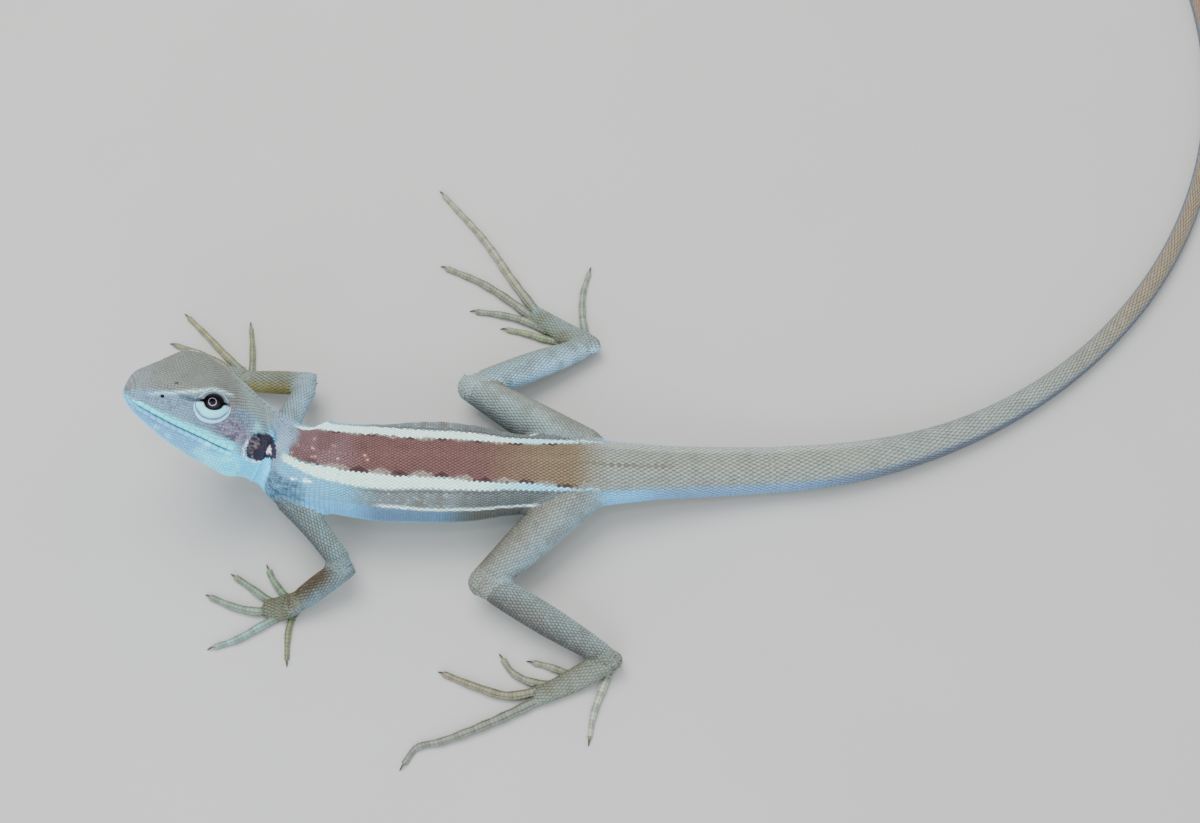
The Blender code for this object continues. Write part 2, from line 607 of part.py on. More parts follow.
def build_trunk(parts):
    neck = trunk_rings(np.linspace(HEAD_END + GAP / 2, NECK_END - GAP / 2, 8), TRUNK_AROUND)
    finish(lofted("neck", neck, parts), "neck")
    torso = trunk_rings(np.linspace(NECK_END + GAP / 2, TORSO_END - GAP / 2, 22), TRUNK_AROUND)
    finish(lofted("torso", torso, parts), "torso")
    for number, (start, end) in enumerate(zip(TAIL_CUTS, TAIL_CUTS[1:]), 1):
        last = number == len(TAIL_CUTS) - 1
        stations = np.linspace(start + GAP / 2, end - (0 if last else GAP / 2), 13)
        rings = trunk_rings(stations, TAIL_AROUND)
        rings[..., 2] = np.maximum(rings[..., 2], 0.0)
        finish(lofted(f"tail_{number}", rings, parts), "tail")


def trunk_cutters(cutters):
    """The neck and the torso, each grown by the clearance, to cut the limbs' roots."""
    spans = (("neck_cutter", HEAD_END + 1.0, NECK_END + 0.5, 9),
             ("torso_cutter", NECK_END - 0.5, TORSO_END + 1.0, 24))
    return [lofted(name, trunk_rings(np.linspace(start, end, count), TRUNK_AROUND, GAP), cutters)
            for name, start, end, count in spans]


def build_limbs(parts, cutters):
    for side in ("left", "right"):
        shoulder, elbow, wrist = LIMB_JOINTS[side + "_arm"]
        hip, knee, ankle = LIMB_JOINTS[side + "_leg"]
        lengths = (
            ("upper_arm", shoulder, elbow, UPPER_ARM_RADII, None),
            ("forearm", elbow, wrist, FOREARM_RADII, "upper_arm"),
            ("thigh", hip, knee, THIGH_RADII, None),
            ("shank", knee, ankle, SHANK_RADII, "thigh"),
        )
        grown = {}
        for name, start, end, radii, parent in lengths:
            piece = limb_length(f"{side}_{name}", start, end, radii, parts)
            cutter = [grown[parent]()] if parent else trunk_cutters(cutters)
            combine(piece, cutter, "DIFFERENCE")
            finish(piece, "limb")

            def grow(label=name, a=start, b=end, r=radii):
                return limb_length(label + "_grown", a, b, r, cutters, GAP)

            grown[name] = grow
        hand = pad_with_digits(side + "_hand", wrist, HAND_PAD_WIDTHS, [grown["forearm"]()],
                               parts)
        finish(hand, "foot")
        foot = pad_with_digits(side + "_foot", ankle, FOOT_PAD_WIDTHS, [grown["shank"]()],
                               parts)
        finish(foot, "foot")


def finish(thing, kind):
    """Material, and smooth shading except over sharp creases."""
    thing.data.materials.clear()
    thing.data.materials.append(material_for(kind))
    thing.data.shade_smooth()
    thing.data.set_sharp_from_angle(angle=math.radians(50.0))


def centre_on_floor(parts):
    """Move all meshes so that the origin is the middle of the footprint, at floor level."""
    points = []
    for thing in parts.objects:
        flat = np.empty(len(thing.data.vertices) * 3)
        thing.data.vertices.foreach_get("co", flat)
        points.append(flat.reshape(-1, 3))
    lowest = np.min([p.min(axis=0) for p in points], axis=0)
    highest = np.max([p.max(axis=0) for p in points], axis=0)
    shift = np.array(((lowest[0] + highest[0]) / 2, (lowest[1] + highest[1]) / 2, lowest[2]))
    for thing, place in zip(parts.objects, points):
        thing.data.vertices.foreach_set("co", (place - shift).ravel())
        thing.data.update()


def main():
    for thing in list(bpy.data.objects):
        bpy.data.objects.remove(thing)
    parts = bpy.data.collections.new("ta_ta_lizard")
    cutters = bpy.data.collections.new("cutters")
    for group in (parts, cutters):
        bpy.context.scene.collection.children.link(group)
    build_head(parts, cutters)
    build_trunk(parts)
    build_limbs(parts, cutters)
    centre_on_floor(parts)


main()
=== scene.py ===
import math

import bpy
import numpy as np
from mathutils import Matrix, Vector
from mathutils.bvhtree import BVHTree
from mathutils.kdtree import KDTree


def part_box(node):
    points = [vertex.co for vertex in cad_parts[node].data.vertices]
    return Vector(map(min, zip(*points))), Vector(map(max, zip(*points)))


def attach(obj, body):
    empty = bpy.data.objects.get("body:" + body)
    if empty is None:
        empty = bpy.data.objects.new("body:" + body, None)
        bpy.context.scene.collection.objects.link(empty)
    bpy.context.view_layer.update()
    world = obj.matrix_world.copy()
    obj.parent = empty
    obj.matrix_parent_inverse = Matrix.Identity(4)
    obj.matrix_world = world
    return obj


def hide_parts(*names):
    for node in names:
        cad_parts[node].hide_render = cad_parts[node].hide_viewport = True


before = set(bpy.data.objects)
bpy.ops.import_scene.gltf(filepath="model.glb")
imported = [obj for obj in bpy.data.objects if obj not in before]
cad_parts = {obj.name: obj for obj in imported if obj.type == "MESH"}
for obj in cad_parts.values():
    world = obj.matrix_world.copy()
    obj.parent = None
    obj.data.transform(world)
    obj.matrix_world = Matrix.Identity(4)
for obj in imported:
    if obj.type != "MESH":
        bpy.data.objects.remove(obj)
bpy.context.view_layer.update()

# A ta-ta lizard on a pale floor. Every form of the body (trunk, limb lengths, pads, digits) is
# a surface over two numbers: the distance s along it in millimetres, and a place t around it
# from 0 at the crown over 2 at the left side and 4 underneath to 8. The skin joins them all,
# and the scales are set on it in rows. Lengths are millimetres until a mesh is made.
mm = 0.001
chance = np.random.default_rng(7)
sideName = {1: "left", -1: "right"}  # a hand of 1 means the left side, -1 the right

head = {
    "size": 1.03,
    "snout": (-90.8, -9.0, 35.8),
    "yaw": 7.0,
    "pitch": 33.0,
    "roll": 31.0,
    "length": 28.0,
    "start": 0.8,  # the surface begins this far behind the drawn tip
    "blunt": 2.6,
    "middle": -0.6,
    # back: crown, brow half width and height, lip the same, jaw the same, throat
    "rails": (
        (0.0, 2.9, 2.1, 2.3, 2.3, -0.5, 1.5, -1.7, -2.0),
        (3.0, 3.8, 2.9, 3.2, 3.4, -1.0, 2.4, -3.1, -3.5),
        (6.5, 4.9, 4.1, 4.4, 4.7, -1.8, 3.7, -5.0, -5.7),
        (9.5, 5.9, 5.6, 5.5, 5.7, -2.5, 4.6, -6.5, -7.3),
        (12.5, 6.7, 7.0, 6.3, 6.5, -3.1, 5.4, -7.8, -8.7),
        (15.5, 7.0, 7.1, 6.2, 7.2, -3.7, 6.2, -8.8, -9.7),
        (18.5, 6.4, 6.3, 5.2, 8.1, -4.3, 7.1, -9.6, -10.5),
        (22.0, 5.2, 5.1, 3.8, 9.0, -4.7, 8.1, -10.5, -11.5),
        (25.5, 3.4, 4.4, 2.0, 9.0, -4.8, 8.6, -11.0, -12.0),
        (28.0, 1.7, 4.1, 0.5, 8.2, -5.1, 7.9, -11.3, -12.2),
    ),
    "mouthCorner": 21.5,
    "mouthDepth": 0.34,
    "nostril": (6.5, 4.05, 2.45),
    "nostrilRadius": 0.425,
    "ear": (26.0, 9.1, -3.4),
    "earHalf": (1.75, 2.45),  # half length and half height of the ear's cup
}
eye = {
    "middle": (15.9, 4.3, 1.9),
    "radius": 3.1,
    "lid": 0.72,  # thickness of the lids over the ball
    "opening": (2.75, 1.34),  # half width and half height
    "ring": (3.75, 2.9),  # the same of the ring of lids round the eye
    "drop": 0.9,  # the ring's middle lies this far below the opening's
    "turn": -17.0,  # degrees, which way the opening looks: back from sideways, and up
    "lift": 42.0,
    "gazeTurn": -20.0,
    "gazeLift": 46.0,
}
trunk = {
    "shoulders": (-53.0, -15.7, 13.5),
    "heading": 0.8,
    "neckPull": 7.5,
    "hips": 57.0,
    "tail": 287.0,
    "tailHeading": 4.5,
    "tailStraight": 37.0,
    "tailBend": 103.8,
    "sink": 0.25,
    # distance from the shoulders: half width, height above and below the middle line
    "sizes": (
        (-14.0, 4.4, 4.7, 7.6), (-8.0, 9.3, 5.9, 8.0), (-4.0, 9.2, 7.0, 8.1), (0.0, 9.1, 7.6, 8.1),
        (4.0, 9.2, 7.9, 8.2), (10.0, 9.7, 8.2, 8.4), (16.0, 10.0, 8.3, 8.5), (22.0, 10.1, 8.3, 8.5),
        (29.0, 9.4, 8.0, 8.2), (34.0, 8.4, 7.6, 7.9), (40.0, 7.7, 7.2, 7.4), (49.0, 7.0, 6.5, 6.4),
        (57.0, 6.2, 5.8, 5.4), (65.0, 5.5, 5.1, 4.7), (75.0, 5.1, 4.7, 4.4), (87.0, 4.7, 4.3, 4.2),
        (100.0, 4.3, 4.0, 4.0), (113.0, 3.7, 3.5, 3.5), (125.0, 3.1, 3.0, 3.0), (155.0, 2.3, 2.25, 2.25),
        (185.0, 2.0, 2.0, 2.0), (225.0, 1.6, 1.6, 1.6), (262.0, 1.35, 1.35, 1.35),
        (307.0, 0.95, 0.95, 0.95), (344.0, 0.45, 0.45, 0.45),
    ),
    "heights": (
        (0.0, 13.5), (9.0, 12.5), (20.0, 11.4), (31.0, 10.6), (41.0, 9.9),
        (49.0, 9.2), (57.0, 8.3), (65.0, 6.9), (75.0, 5.3), (87.0, 4.0),
    ),
    # distance: how far the middle line is moved towards the right side
    "sway": (
        (-18.5, 0.0), (-15.0, -1.5), (-12.0, -1.1), (-8.5, -1.0), (-6.0, -0.2), (-3.0, 0.45),
        (0.0, 0.15), (4.0, -0.3), (10.0, -0.55), (16.0, -0.25), (22.0, -0.15), (29.0, -0.3),
        (39.0, -0.35), (49.0, 0.0),
    ),
    "neckEnd": -7.5,
}
limbs = {
    "left_arm": ((-61.0, -21.0, 12.2), (-50.2, -34.2, 7.0), (-60.0, -40.4, 3.3)),
    "right_arm": ((-64.2, -8.8, 12.4), (-59.6, 5.8, 7.0), (-73.1, 8.1, 3.3)),
    "left_leg": ((-3.2, -18.2, 9.2), (-22.7, -37.4, 7.2), (2.2, -51.9, 3.4)),
    "right_leg": ((-3.6, -10.2, 9.2), (-26.0, 4.8, 7.2), (-2.1, 16.2, 3.4)),
    "upper_arm": (3.6, 2.5, 2.3),
    "forearm": (2.4, 2.5, 2.2),
    "thigh": (5.0, 4.3, 3.2),
    "shank": (2.9, 3.1, 2.1),
}
feet = {
    # where each pad ends in front, and its half widths from the joint on
    "left_hand": ((-65.1, -40.7), (2.3, 2.7, 2.0)),
    "right_hand": ((-76.8, 10.6), (2.3, 2.7, 2.0)),
    "left_foot": ((-11.1, -58.4), (2.3, 2.5, 1.9)),
    "right_foot": ((-12.9, 24.3), (2.3, 2.5, 1.9)),
    "padHeight": 1.35,
    "clawLength": 1.9,
    "clawRadius": 0.36,
    "clawRise": 0.42,
    "clawLowest": 0.02,
}
# each digit, inner one first: the places its middle line runs through, its radius at the root
# and at the tip
digits = {
    "left_hand": (
        (((-61.9, -38.6), (-64.1, -36.1), (-65.4, -34.2), (-66.1, -32.7)), 0.85, 0.62),
        (((-63.9, -39.8), (-66.7, -38.2), (-69.7, -36.0), (-72.4, -34.1)), 0.9, 0.62),
        (((-64.2, -40.9), (-68.5, -41.1), (-73.0, -40.0), (-77.0, -38.2)), 0.95, 0.62),
        (((-63.3, -42.1), (-67.1, -44.3), (-71.3, -46.8), (-75.6, -48.3)), 0.92, 0.58),
        (((-60.8, -41.7), (-61.5, -45.0), (-61.6, -47.9), (-61.5, -50.6)), 0.75, 0.48),
    ),
    "right_hand": (
        (((-74.3, 8.1), (-76.0, 7.0), (-77.3, 5.7), (-78.2, 4.4)), 0.8, 0.55),
        (((-75.9, 9.1), (-78.9, 8.8), (-81.8, 8.0), (-84.5, 6.8)), 0.8, 0.55),
        (((-75.6, 10.7), (-79.4, 13.4), (-84.2, 15.9), (-88.8, 17.7)), 0.85, 0.55),
        (((-74.8, 11.8), (-78.7, 15.7), (-82.6, 19.9), (-86.7, 24.1)), 0.85, 0.52),
        (((-72.7, 10.9), (-72.8, 14.8), (-73.1, 18.2), (-73.6, 21.7)), 0.75, 0.45),
    ),
    "left_foot": (
        (((-5.6, -54.2), (-8.8, -52.9), (-11.2, -52.1), (-12.7, -51.7)), 0.8, 0.58),
        (((-9.4, -56.3), (-14.6, -55.2), (-17.4, -53.4), (-18.9, -51.2)), 0.9, 0.6),
        (((-11.3, -57.3), (-18.1, -58.4), (-24.4, -56.5), (-30.1, -54.1)), 1.0, 0.65),
        (((-11.0, -58.9), (-21.5, -64.0), (-30.6, -67.5), (-35.6, -68.9), (-37.5, -71.6)), 1.15, 0.58),
        (((2.3, -52.4), (0.2, -57.7), (-1.4, -62.5), (-2.0, -66.5)), 0.95, 0.5),
    ),
    "right_foot": (
        (((-8.3, 18.4), (-12.2, 19.3), (-15.6, 20.5), (-19.3, 21.4)), 0.8, 0.58),
        (((-11.3, 21.2), (-16.5, 23.6), (-21.1, 24.9), (-25.8, 25.7)), 0.9, 0.6),
        (((-12.9, 23.1), (-19.1, 28.1), (-26.0, 32.9), (-32.5, 36.0)), 1.0, 0.62),
        (((-13.0, 24.9), (-18.7, 33.1), (-24.5, 42.3), (-33.8, 54.0)), 1.1, 0.55),
        (((-2.6, 18.0), (-3.8, 25.0), (-3.7, 29.7), (-2.4, 34.9)), 0.9, 0.5),
    ),
}
coat = {
    "depth": 0.17,  # the skin lies this far inside the body's outline, and the scales fill it
    "skinLowest": 0.10,  # nothing of the skin or of the scales comes nearer to the floor
    "scalesLowest": 0.01,
    "pieceScales": 9500,  # the most scales that one piece holds
    "meet": (-8, 58),  # distances at which the scales of head, torso and tail part
}


# small tools
def profile(table, at):
    # smooth values at the given stations: a cubic between rows, with the rows' own slopes
    rows = np.array(table, float)
    x, y = rows[:, 0], rows[:, 1:]
    slope = np.gradient(y, x, axis=0)
    at = np.clip(np.atleast_1d(np.asarray(at, float)), x[0], x[-1])
    i = np.clip(np.searchsorted(x, at, side="right") - 1, 0, len(x) - 2)
    step = (x[i + 1] - x[i])[:, None]
    t = (at - x[i])[:, None] / step
    start = (2 * t**3 - 3 * t**2 + 1) * y[i] + (t**3 - 2 * t**2 + t) * step * slope[i]
    end = (3 * t**2 - 2 * t**3) * y[i + 1] + (t**3 - t**2) * step * slope[i + 1]
    return start + end


def unit(v):
    # a vector over its own length
    return v / np.maximum(np.linalg.norm(v, axis=-1, keepdims=True), 1e-9)


def dot(a, b):
    # the sum of the products of two vectors' numbers
    return np.sum(a * b, axis=-1)


def smoothStep(x):
    # from 0 to 1 as 3 x squared less 2 x cubed
    x = np.clip(x, 0.0, 1.0)
    return x * x * (3 - 2 * x)


def rising(x, start, width):
    # from 0 at the start to 1 a width further on
    return smoothStep((x - start) / width)


def falling(x, end, width):
    # from 1 to 0 at the end, beginning a width before it
    return smoothStep((end - x) / width)


def bell(x, width):
    # 1 in the middle, falling off as e to the minus square of x over the width
    return np.exp(-(np.asarray(x) / width) ** 2)


def signedSide(t):
    # 0 at the crown, up to 4 over the left side and down to -4 over the right
    return np.where(t > 4, t - 8, t)


def window(x, start, end, ease):
    # 1 between start and end, eased over the given stretch at both
    return smoothStep((x - start) / ease + 0.5) * smoothStep((end - x) / ease + 0.5)


def softNoise(place, size, seed):
    # value noise in 0..1: hashed values at the corners of a lattice, mixed by smooth fractions
    q = np.asarray(place) / size + seed * 17.31
    cell = np.floor(q).astype(np.int64)
    f = q - cell
    f = f * f * (3 - 2 * f)
    total = 0.0
    for corner in range(8):
        step = np.array([(corner >> k) & 1 for k in range(3)])
        c = cell + step
        h = (c[..., 0] * 73856093) ^ (c[..., 1] * 19349663) ^ (c[..., 2] * 83492791)
        h = ((h ^ (h >> 13)) * 1274126177) & 0x7FFFFFFF
        h = ((h ^ (h >> 15)) * 668265263) & 0x7FFFFFFF
        total = total + np.prod(np.where(step, f, 1 - f), axis=-1) * ((h >> 7) % 4096) / 4095
    return total


# where the forms are
def headAxes():
    # back, left and up of the head: level axes turned by yaw, then pitch, then roll
    yaw, pitch, roll = (math.radians(head[k]) for k in ("yaw", "pitch", "roll"))
    levelBack = np.array((math.cos(yaw), math.sin(yaw), 0.0))
    levelLeft = np.array((math.sin(yaw), -math.cos(yaw), 0.0))
    upright = np.array((0.0, 0.0, 1.0))
    back = levelBack * math.cos(pitch) - upright * math.sin(pitch)
    up = levelBack * math.sin(pitch) + upright * math.cos(pitch)
    left = levelLeft * math.cos(roll) + up * math.sin(roll)
    return np.array((back, left, up * math.cos(roll) - levelLeft * math.sin(roll)))


axes = headAxes()
drawnEye = np.array(head["snout"]) + head["size"] * np.array(eye["middle"]) @ axes
eyeLow, eyeHigh = (np.array(corner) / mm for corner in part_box("left_eye"))
shift = drawnEye - (eyeLow + eyeHigh) / 2  # from the drawing's frame to the part's
snout = np.array(head["snout"]) - shift


def headPoint(back, left, up):
    # a place given in the head's own axes, from the snout's tip
    return snout + head["size"] * np.stack(np.broadcast_arrays(back, left, up), axis=-1) @ axes


def headLocal(place):
    # how far back, left and up of the snout's tip a place lies, along the head's axes
    return (place - snout) @ axes.T / head["size"]


def mirroredRails(values):
    # eight points around a section from crown, brow, lip and jaw (width, height) and throat
    crown, browW, browH, lipW, lipH, jawW, jawH, throat = values.T
    none = np.zeros_like(crown)
    rails = ((none, crown), (browW, browH), (lipW, lipH), (jawW, jawH),
             (none, throat), (-jawW, jawH), (-lipW, lipH), (-browW, browH))
    return np.stack([np.stack(rail, axis=-1) for rail in rails], axis=1)


def makeForm(name, s, origin, side, up, rails):
    # one row for each station s: its middle, its two axes and the eight points of its section
    table = np.concatenate((origin, side, up, rails.reshape(len(s), 16)), axis=1)
    return {"name": name, "s": s, "table": table, "start": s[0], "end": s[-1]}


def onForm(form, s, t):
    # the section at s, mixed from the rows beside it, and on it the closed cubic at t
    s, t = np.broadcast_arrays(np.asarray(s, float), np.asarray(t, float))
    i = np.clip(np.searchsorted(form["s"], s) - 1, 0, len(form["s"]) - 2)
    low, high = form["s"][i], form["s"][i + 1]
    f = np.clip((s - low) / (high - low), 0, 1)[..., None]
    row = form["table"][i] * (1 - f) + form["table"][i + 1] * f
    rails = row[..., 9:].reshape(*s.shape, 8, 2)
    k = np.floor(t).astype(int)
    f = (t - k)[..., None]
    before, here, after, beyond = (
        np.take_along_axis(rails, ((k + step) % 8)[..., None, None], axis=-2)[..., 0, :]
        for step in (-1, 0, 1, 2))
    bend = 2 * before - 5 * here + 4 * after - beyond
    twist = 3 * here - before - 3 * after + beyond
    flat = here + 0.5 * f * ((after - before) + f * (bend + f * twist))
    return row[..., :3] + flat[..., :1] * row[..., 3:6] + flat[..., 1:] * row[..., 6:9]


def framesOn(form, s, t):
    # place, outward direction and direction along, from small steps both ways
    s, t = np.broadcast_arrays(np.asarray(s, float), np.asarray(t, float))
    ahead = np.clip(s + 0.12, form["start"], form["end"])
    behind = np.clip(s - 0.12, form["start"], form["end"])
    around = onForm(form, s, t + 0.04) - onForm(form, s, t - 0.04)
    along = unit(onForm(form, ahead, t) - onForm(form, behind, t))
    return onForm(form, s, t), unit(np.cross(around, along)), along


def trunkLine():
    # a cubic from the head over the neck, then headings added up step by step to the tail's tip
    last = head["rails"][-1]
    start = headPoint(head["length"], 0.0, (last[1] + last[-1]) / 2) + shift
    end = np.array(trunk["shoulders"])
    heights, sizes = trunk["heights"], trunk["sizes"]
    slope = (heights[1][1] - heights[0][1]) / heights[1][0]
    heading = math.radians(trunk["heading"])
    away = np.array((math.cos(heading), math.sin(heading), slope))
    t = np.linspace(0, 1, 120, endpoint=False)[:, None]
    nearHead = start + axes[0] * trunk["neckPull"]
    nearTrunk = end - unit(away) * trunk["neckPull"]
    neck = ((1 - t)**3 * start + 3 * t * (1 - t)**2 * nearHead
            + 3 * t * t * (1 - t) * nearTrunk + t**3 * end)
    along = np.linspace(0, trunk["hips"] + trunk["tail"], 1200)
    pastHips = along - trunk["hips"]
    turn = trunk["heading"] + ((trunk["tailHeading"] - trunk["heading"])
                               * smoothStep(pastHips / 12 + 1))
    turn += np.degrees(np.clip(pastHips - trunk["tailStraight"], 0, None) / trunk["tailBend"])
    step = np.diff(along, prepend=0.0)
    x = end[0] + np.cumsum(step * np.cos(np.radians(turn)))
    y = end[1] + np.cumsum(step * np.sin(np.radians(turn)))
    resting = profile(sizes, along)[:, 2] - trunk["sink"]
    height = np.where(along < heights[-1][0], profile(heights, along)[:, 0], resting)
    points = np.vstack((neck, np.stack((x, y, height), axis=1)))
    tangent = unit(np.gradient(points, axis=0))
    distance = np.cumsum(np.linalg.norm(np.diff(points, axis=0, prepend=points[:1]), axis=1))
    distance -= distance[len(neck)]
    blend = smoothStep(1 - distance / distance[0])[:, None]
    side = unit(unit(np.cross(tangent, (0.0, 0.0, 1.0))) * blend + axes[1] * (1 - blend))
    side = unit(side - tangent * dot(side, tangent)[:, None])
    points[:, 1] += profile(trunk["sway"], distance)[:, 0]
    return points - shift, distance, side, np.cross(side, tangent)


linePoints, lineDistance, lineSide, lineUp = trunkLine()
headEnd = lineDistance[0]
snoutTip = headEnd - head["length"] * head["size"]
tailTip = trunk["hips"] + trunk["tail"]


def trunkForm():
    # the head's sections on its own axes, then the body's on the curved line, eased together
    # over the neck; the snout is rounded as a circle is
    first, blunt, middle = head["start"], head["blunt"], head["middle"]
    back = np.concatenate((first + blunt * (1 - np.cos(np.linspace(0.04, math.pi / 2, 14))),
                           np.linspace(first + blunt + 0.25, head["length"], 100)))
    rails = mirroredRails(profile(head["rails"], back))
    rounding = np.sqrt(1 - np.clip(1 - (back - first) / blunt, 0, 1)**2)[:, None, None]
    centre = np.array((0.0, middle))
    rails = (centre + (rails - centre) * rounding) * head["size"]
    count = len(back)
    front = (headEnd + (back - head["length"]) * head["size"], headPoint(back, 0.0, 0.0),
             np.tile(axes[1], (count, 1)), np.tile(axes[2], (count, 1)), rails)
    s = np.concatenate((np.arange(headEnd + 0.3, 60, 0.3), np.arange(60, tailTip, 0.7), [tailTip]))
    width, above, below = profile(trunk["sizes"], s).T
    body = mirroredRails(np.stack((above, 0.76 * width, 0.70 * above, width, 0 * width,
                                   0.78 * width, -0.72 * below, -below), axis=1))
    last = np.array(head["rails"][-1][1:])
    last[[0, 2, 4, 6, 7]] -= (last[0] + last[-1]) / 2
    blend = smoothStep((s - headEnd) / (trunk["neckEnd"] - headEnd))[:, None, None]
    rails = body * blend + head["size"] * mirroredRails(last[None, :]) * (1 - blend)
    line = [np.stack([np.interp(s, lineDistance, v[:, k]) for k in range(3)], axis=1)
            for v in (linePoints, lineSide, lineUp)]
    rear = (s, *line, rails)
    return makeForm("trunk", *(np.concatenate(pair) for pair in zip(front, rear)))


def tubeForm(name, points, widths, heights):
    # flattened round sections along a line, the ends shrinking as a half circle does
    points = np.asarray(points, float)
    tangent = unit(np.gradient(points, axis=0))
    angle = np.linspace(math.pi / 2 - 0.03, 0.25, 6)
    shrink, reach = np.cos(angle), np.sin(angle)
    first = points[0] - tangent[0] * (widths[0] * reach)[:, None]
    last = points[-1] + tangent[-1] * (widths[-1] * reach[::-1])[:, None]
    points = np.concatenate((first, points, last))
    width, height = (np.concatenate((v[0] * shrink, v, v[-1] * shrink[::-1]))
                     for v in (widths, heights))
    ends = [np.tile(tangent[n], (len(angle), 1)) for n in (0, -1)]
    tangent = np.concatenate((ends[0], tangent, ends[1]))
    side = unit(np.cross(tangent, (0.0, 0.0, 1.0)))
    corner = math.sqrt(0.5)
    rails = mirroredRails(np.stack((height, corner * width, corner * height, width, 0 * width,
                                    corner * width, -corner * height, -height), axis=1))
    s = np.cumsum(np.linalg.norm(np.diff(points, axis=0, prepend=points[:1]), axis=1))
    return makeForm(name, s, points - shift, side, np.cross(side, tangent), rails)


def limbForm(name, start, end, radii):
    # a tube between two joints, its radius a cubic through three values
    t = np.linspace(0, 1, 24)
    points = np.asarray(start) + (np.asarray(end) - np.asarray(start)) * t[:, None]
    radius = profile([(k / 2, r) for k, r in enumerate(radii)], t)[:, 0]
    return tubeForm(name, points, radius, radius * 0.95)


def digitForm(name, path, radius, tipRadius):
    # a level line through the digit's places; knuckles swell the tapering radius a little
    path = np.array(path)
    chord = np.cumsum(np.linalg.norm(np.diff(path, axis=0, prepend=path[:1]), axis=1))
    length = chord[-1]
    t = np.linspace(0, 1, max(16, int(length / 0.8)))
    flat = profile(np.column_stack((chord, path)), t * length)
    radii = radius + (tipRadius - radius) * t
    height = radii * 0.85 - 0.12 + 0.35 * radius * np.sin(math.pi * t)**2
    knuckles = 1 + 0.06 * np.cos(2 * math.pi * t * max(2, round(length / 4.5)))
    form = tubeForm(name, np.column_stack((flat, height)), radii * knuckles,
                    radii * 0.9 * knuckles)
    last = flat[-1] - flat[-2]
    form["tip"] = (np.array((*flat[-1], height[-1])) - shift, math.atan2(last[1], last[0]))
    return form


def padForms(name, joint):
    # the flat of a hand or foot, settling from its joint to the floor, and its five digits
    front, widths = feet[name]
    t = np.linspace(0, 1, 16)
    flat = np.asarray(joint[:2]) + (np.asarray(front) - joint[:2]) * t[:, None]
    settle = 1 - smoothStep(t * 1.6)
    low = feet["padHeight"]
    height = low - 0.15 + (joint[2] - low) * settle
    width = profile([(k / 2, w) for k, w in enumerate(widths)], t)[:, 0]
    thick = low + (widths[0] - low) * settle
    return [tubeForm(name, np.column_stack((flat, height)), width, thick)] + [
        digitForm(f"{name}_digit_{number}", *digit) for number, digit in enumerate(digits[name], 1)]


def allForms():
    # the trunk, then for each side its arm, leg, hand and foot
    forms = [trunkForm()]
    for side in ("left", "right"):
        shoulder, elbow, wrist = limbs[side + "_arm"]
        hip, knee, ankle = limbs[side + "_leg"]
        for part, a, b in (("upper_arm", shoulder, elbow), ("forearm", elbow, wrist),
                           ("thigh", hip, knee), ("shank", knee, ankle)):
            forms.append(limbForm(f"{side}_{part}", a, b, limbs[part]))
        forms += padForms(side + "_hand", wrist) + padForms(side + "_foot", ankle)
    return {form["name"]: form for form in forms}


forms = allForms()
body = forms["trunk"]
print("forms:", len(forms))


# the flat chart that skin and scales share: each form unrolled onto a strip
chart = {
    "perMm": 1 / 215.0,
    "tailSplits": (61.0, 203.0),  # the trunk's strip is cut at these distances
    "edge": 0.004,
    "gap": 0.006,
}


def girthOf(form, s):
    # the length of the section's outline at each s
    t = np.linspace(0, 8, 65)
    ring = onForm(form, np.asarray(s)[:, None], t)
    return np.linalg.norm(np.diff(ring, axis=1), axis=2).sum(axis=1)


def shelveStrips():
    # strips stand side by side on shelves, the widest girth first
    strips = []
    for form in forms.values():
        cuts = [form["start"], form["end"]]
        if form is body:
            cuts[1:1] = chart["tailSplits"]
        for a, b in zip(cuts, cuts[1:]):
            tall = girthOf(form, np.linspace(a, b, 20)).max()
            strips.append((form["name"], a, b, tall))
    strips.sort(key=lambda strip: -strip[3])
    edge, gap = chart["edge"], chart["gap"]
    u, v, shelf, homes = edge, edge, 0.0, {}
    for name, a, b, tall in strips:
        wide, high = (b - a) * chart["perMm"], tall * chart["perMm"]
        if u + wide > 1 - edge:
            u, v, shelf = edge, v + shelf + gap, 0.0
        homes.setdefault(name, []).append((a, b, u, v, high))
        u, shelf = u + wide + gap, max(shelf, high)
    print("chart filled to", round(v + shelf, 3))
    return homes


homes = shelveStrips()


def chartPlace(name, s, t, strip=None):
    # along the strip by s, across it by t; strip names the one that faces at a cut belong to
    s, t = np.broadcast_arrays(s, t)
    strip = s if strip is None else np.broadcast_to(strip, s.shape)
    place = np.zeros((*s.shape, 2))
    for a, b, u, v, high in sorted(homes[name]):
        here = (strip >= a - 1e-6) & (strip <= b + 1e-6)
        spot = np.stack((u + (s - a) * chart["perMm"], v + high * t / 8), axis=-1)
        place = np.where(here[..., None], spot, place)
    return place


def onStrip(spots, strip):
    # which places of the chart lie on a strip, and their distance s along it
    a, b, u, v, high = strip
    wide, ease = (b - a) * chart["perMm"], 1e-4
    inside = ((spots[:, 0] >= u - ease) & (spots[:, 0] <= u + wide + ease)
              & (spots[:, 1] >= v - ease) & (spots[:, 1] <= v + high + ease))
    return inside, a + (spots[:, 0] - u) / chart["perMm"]


# relief of the skin
def onHead(spot, hand):
    # a spot of the head given for its left side, on the side that is asked for
    return headPoint(spot[0], hand * spot[1], spot[2])


def fromEar(back, up):
    # distance from the ear's middle as a share of its cup's half sizes: 1 on the rim
    ear, half = head["ear"], head["earHalf"]
    return np.hypot((back - ear[0]) / half[0], (up - ear[2]) / half[1])


eyeMiddle = {hand: onHead(eye["middle"], hand) for hand in sideName}


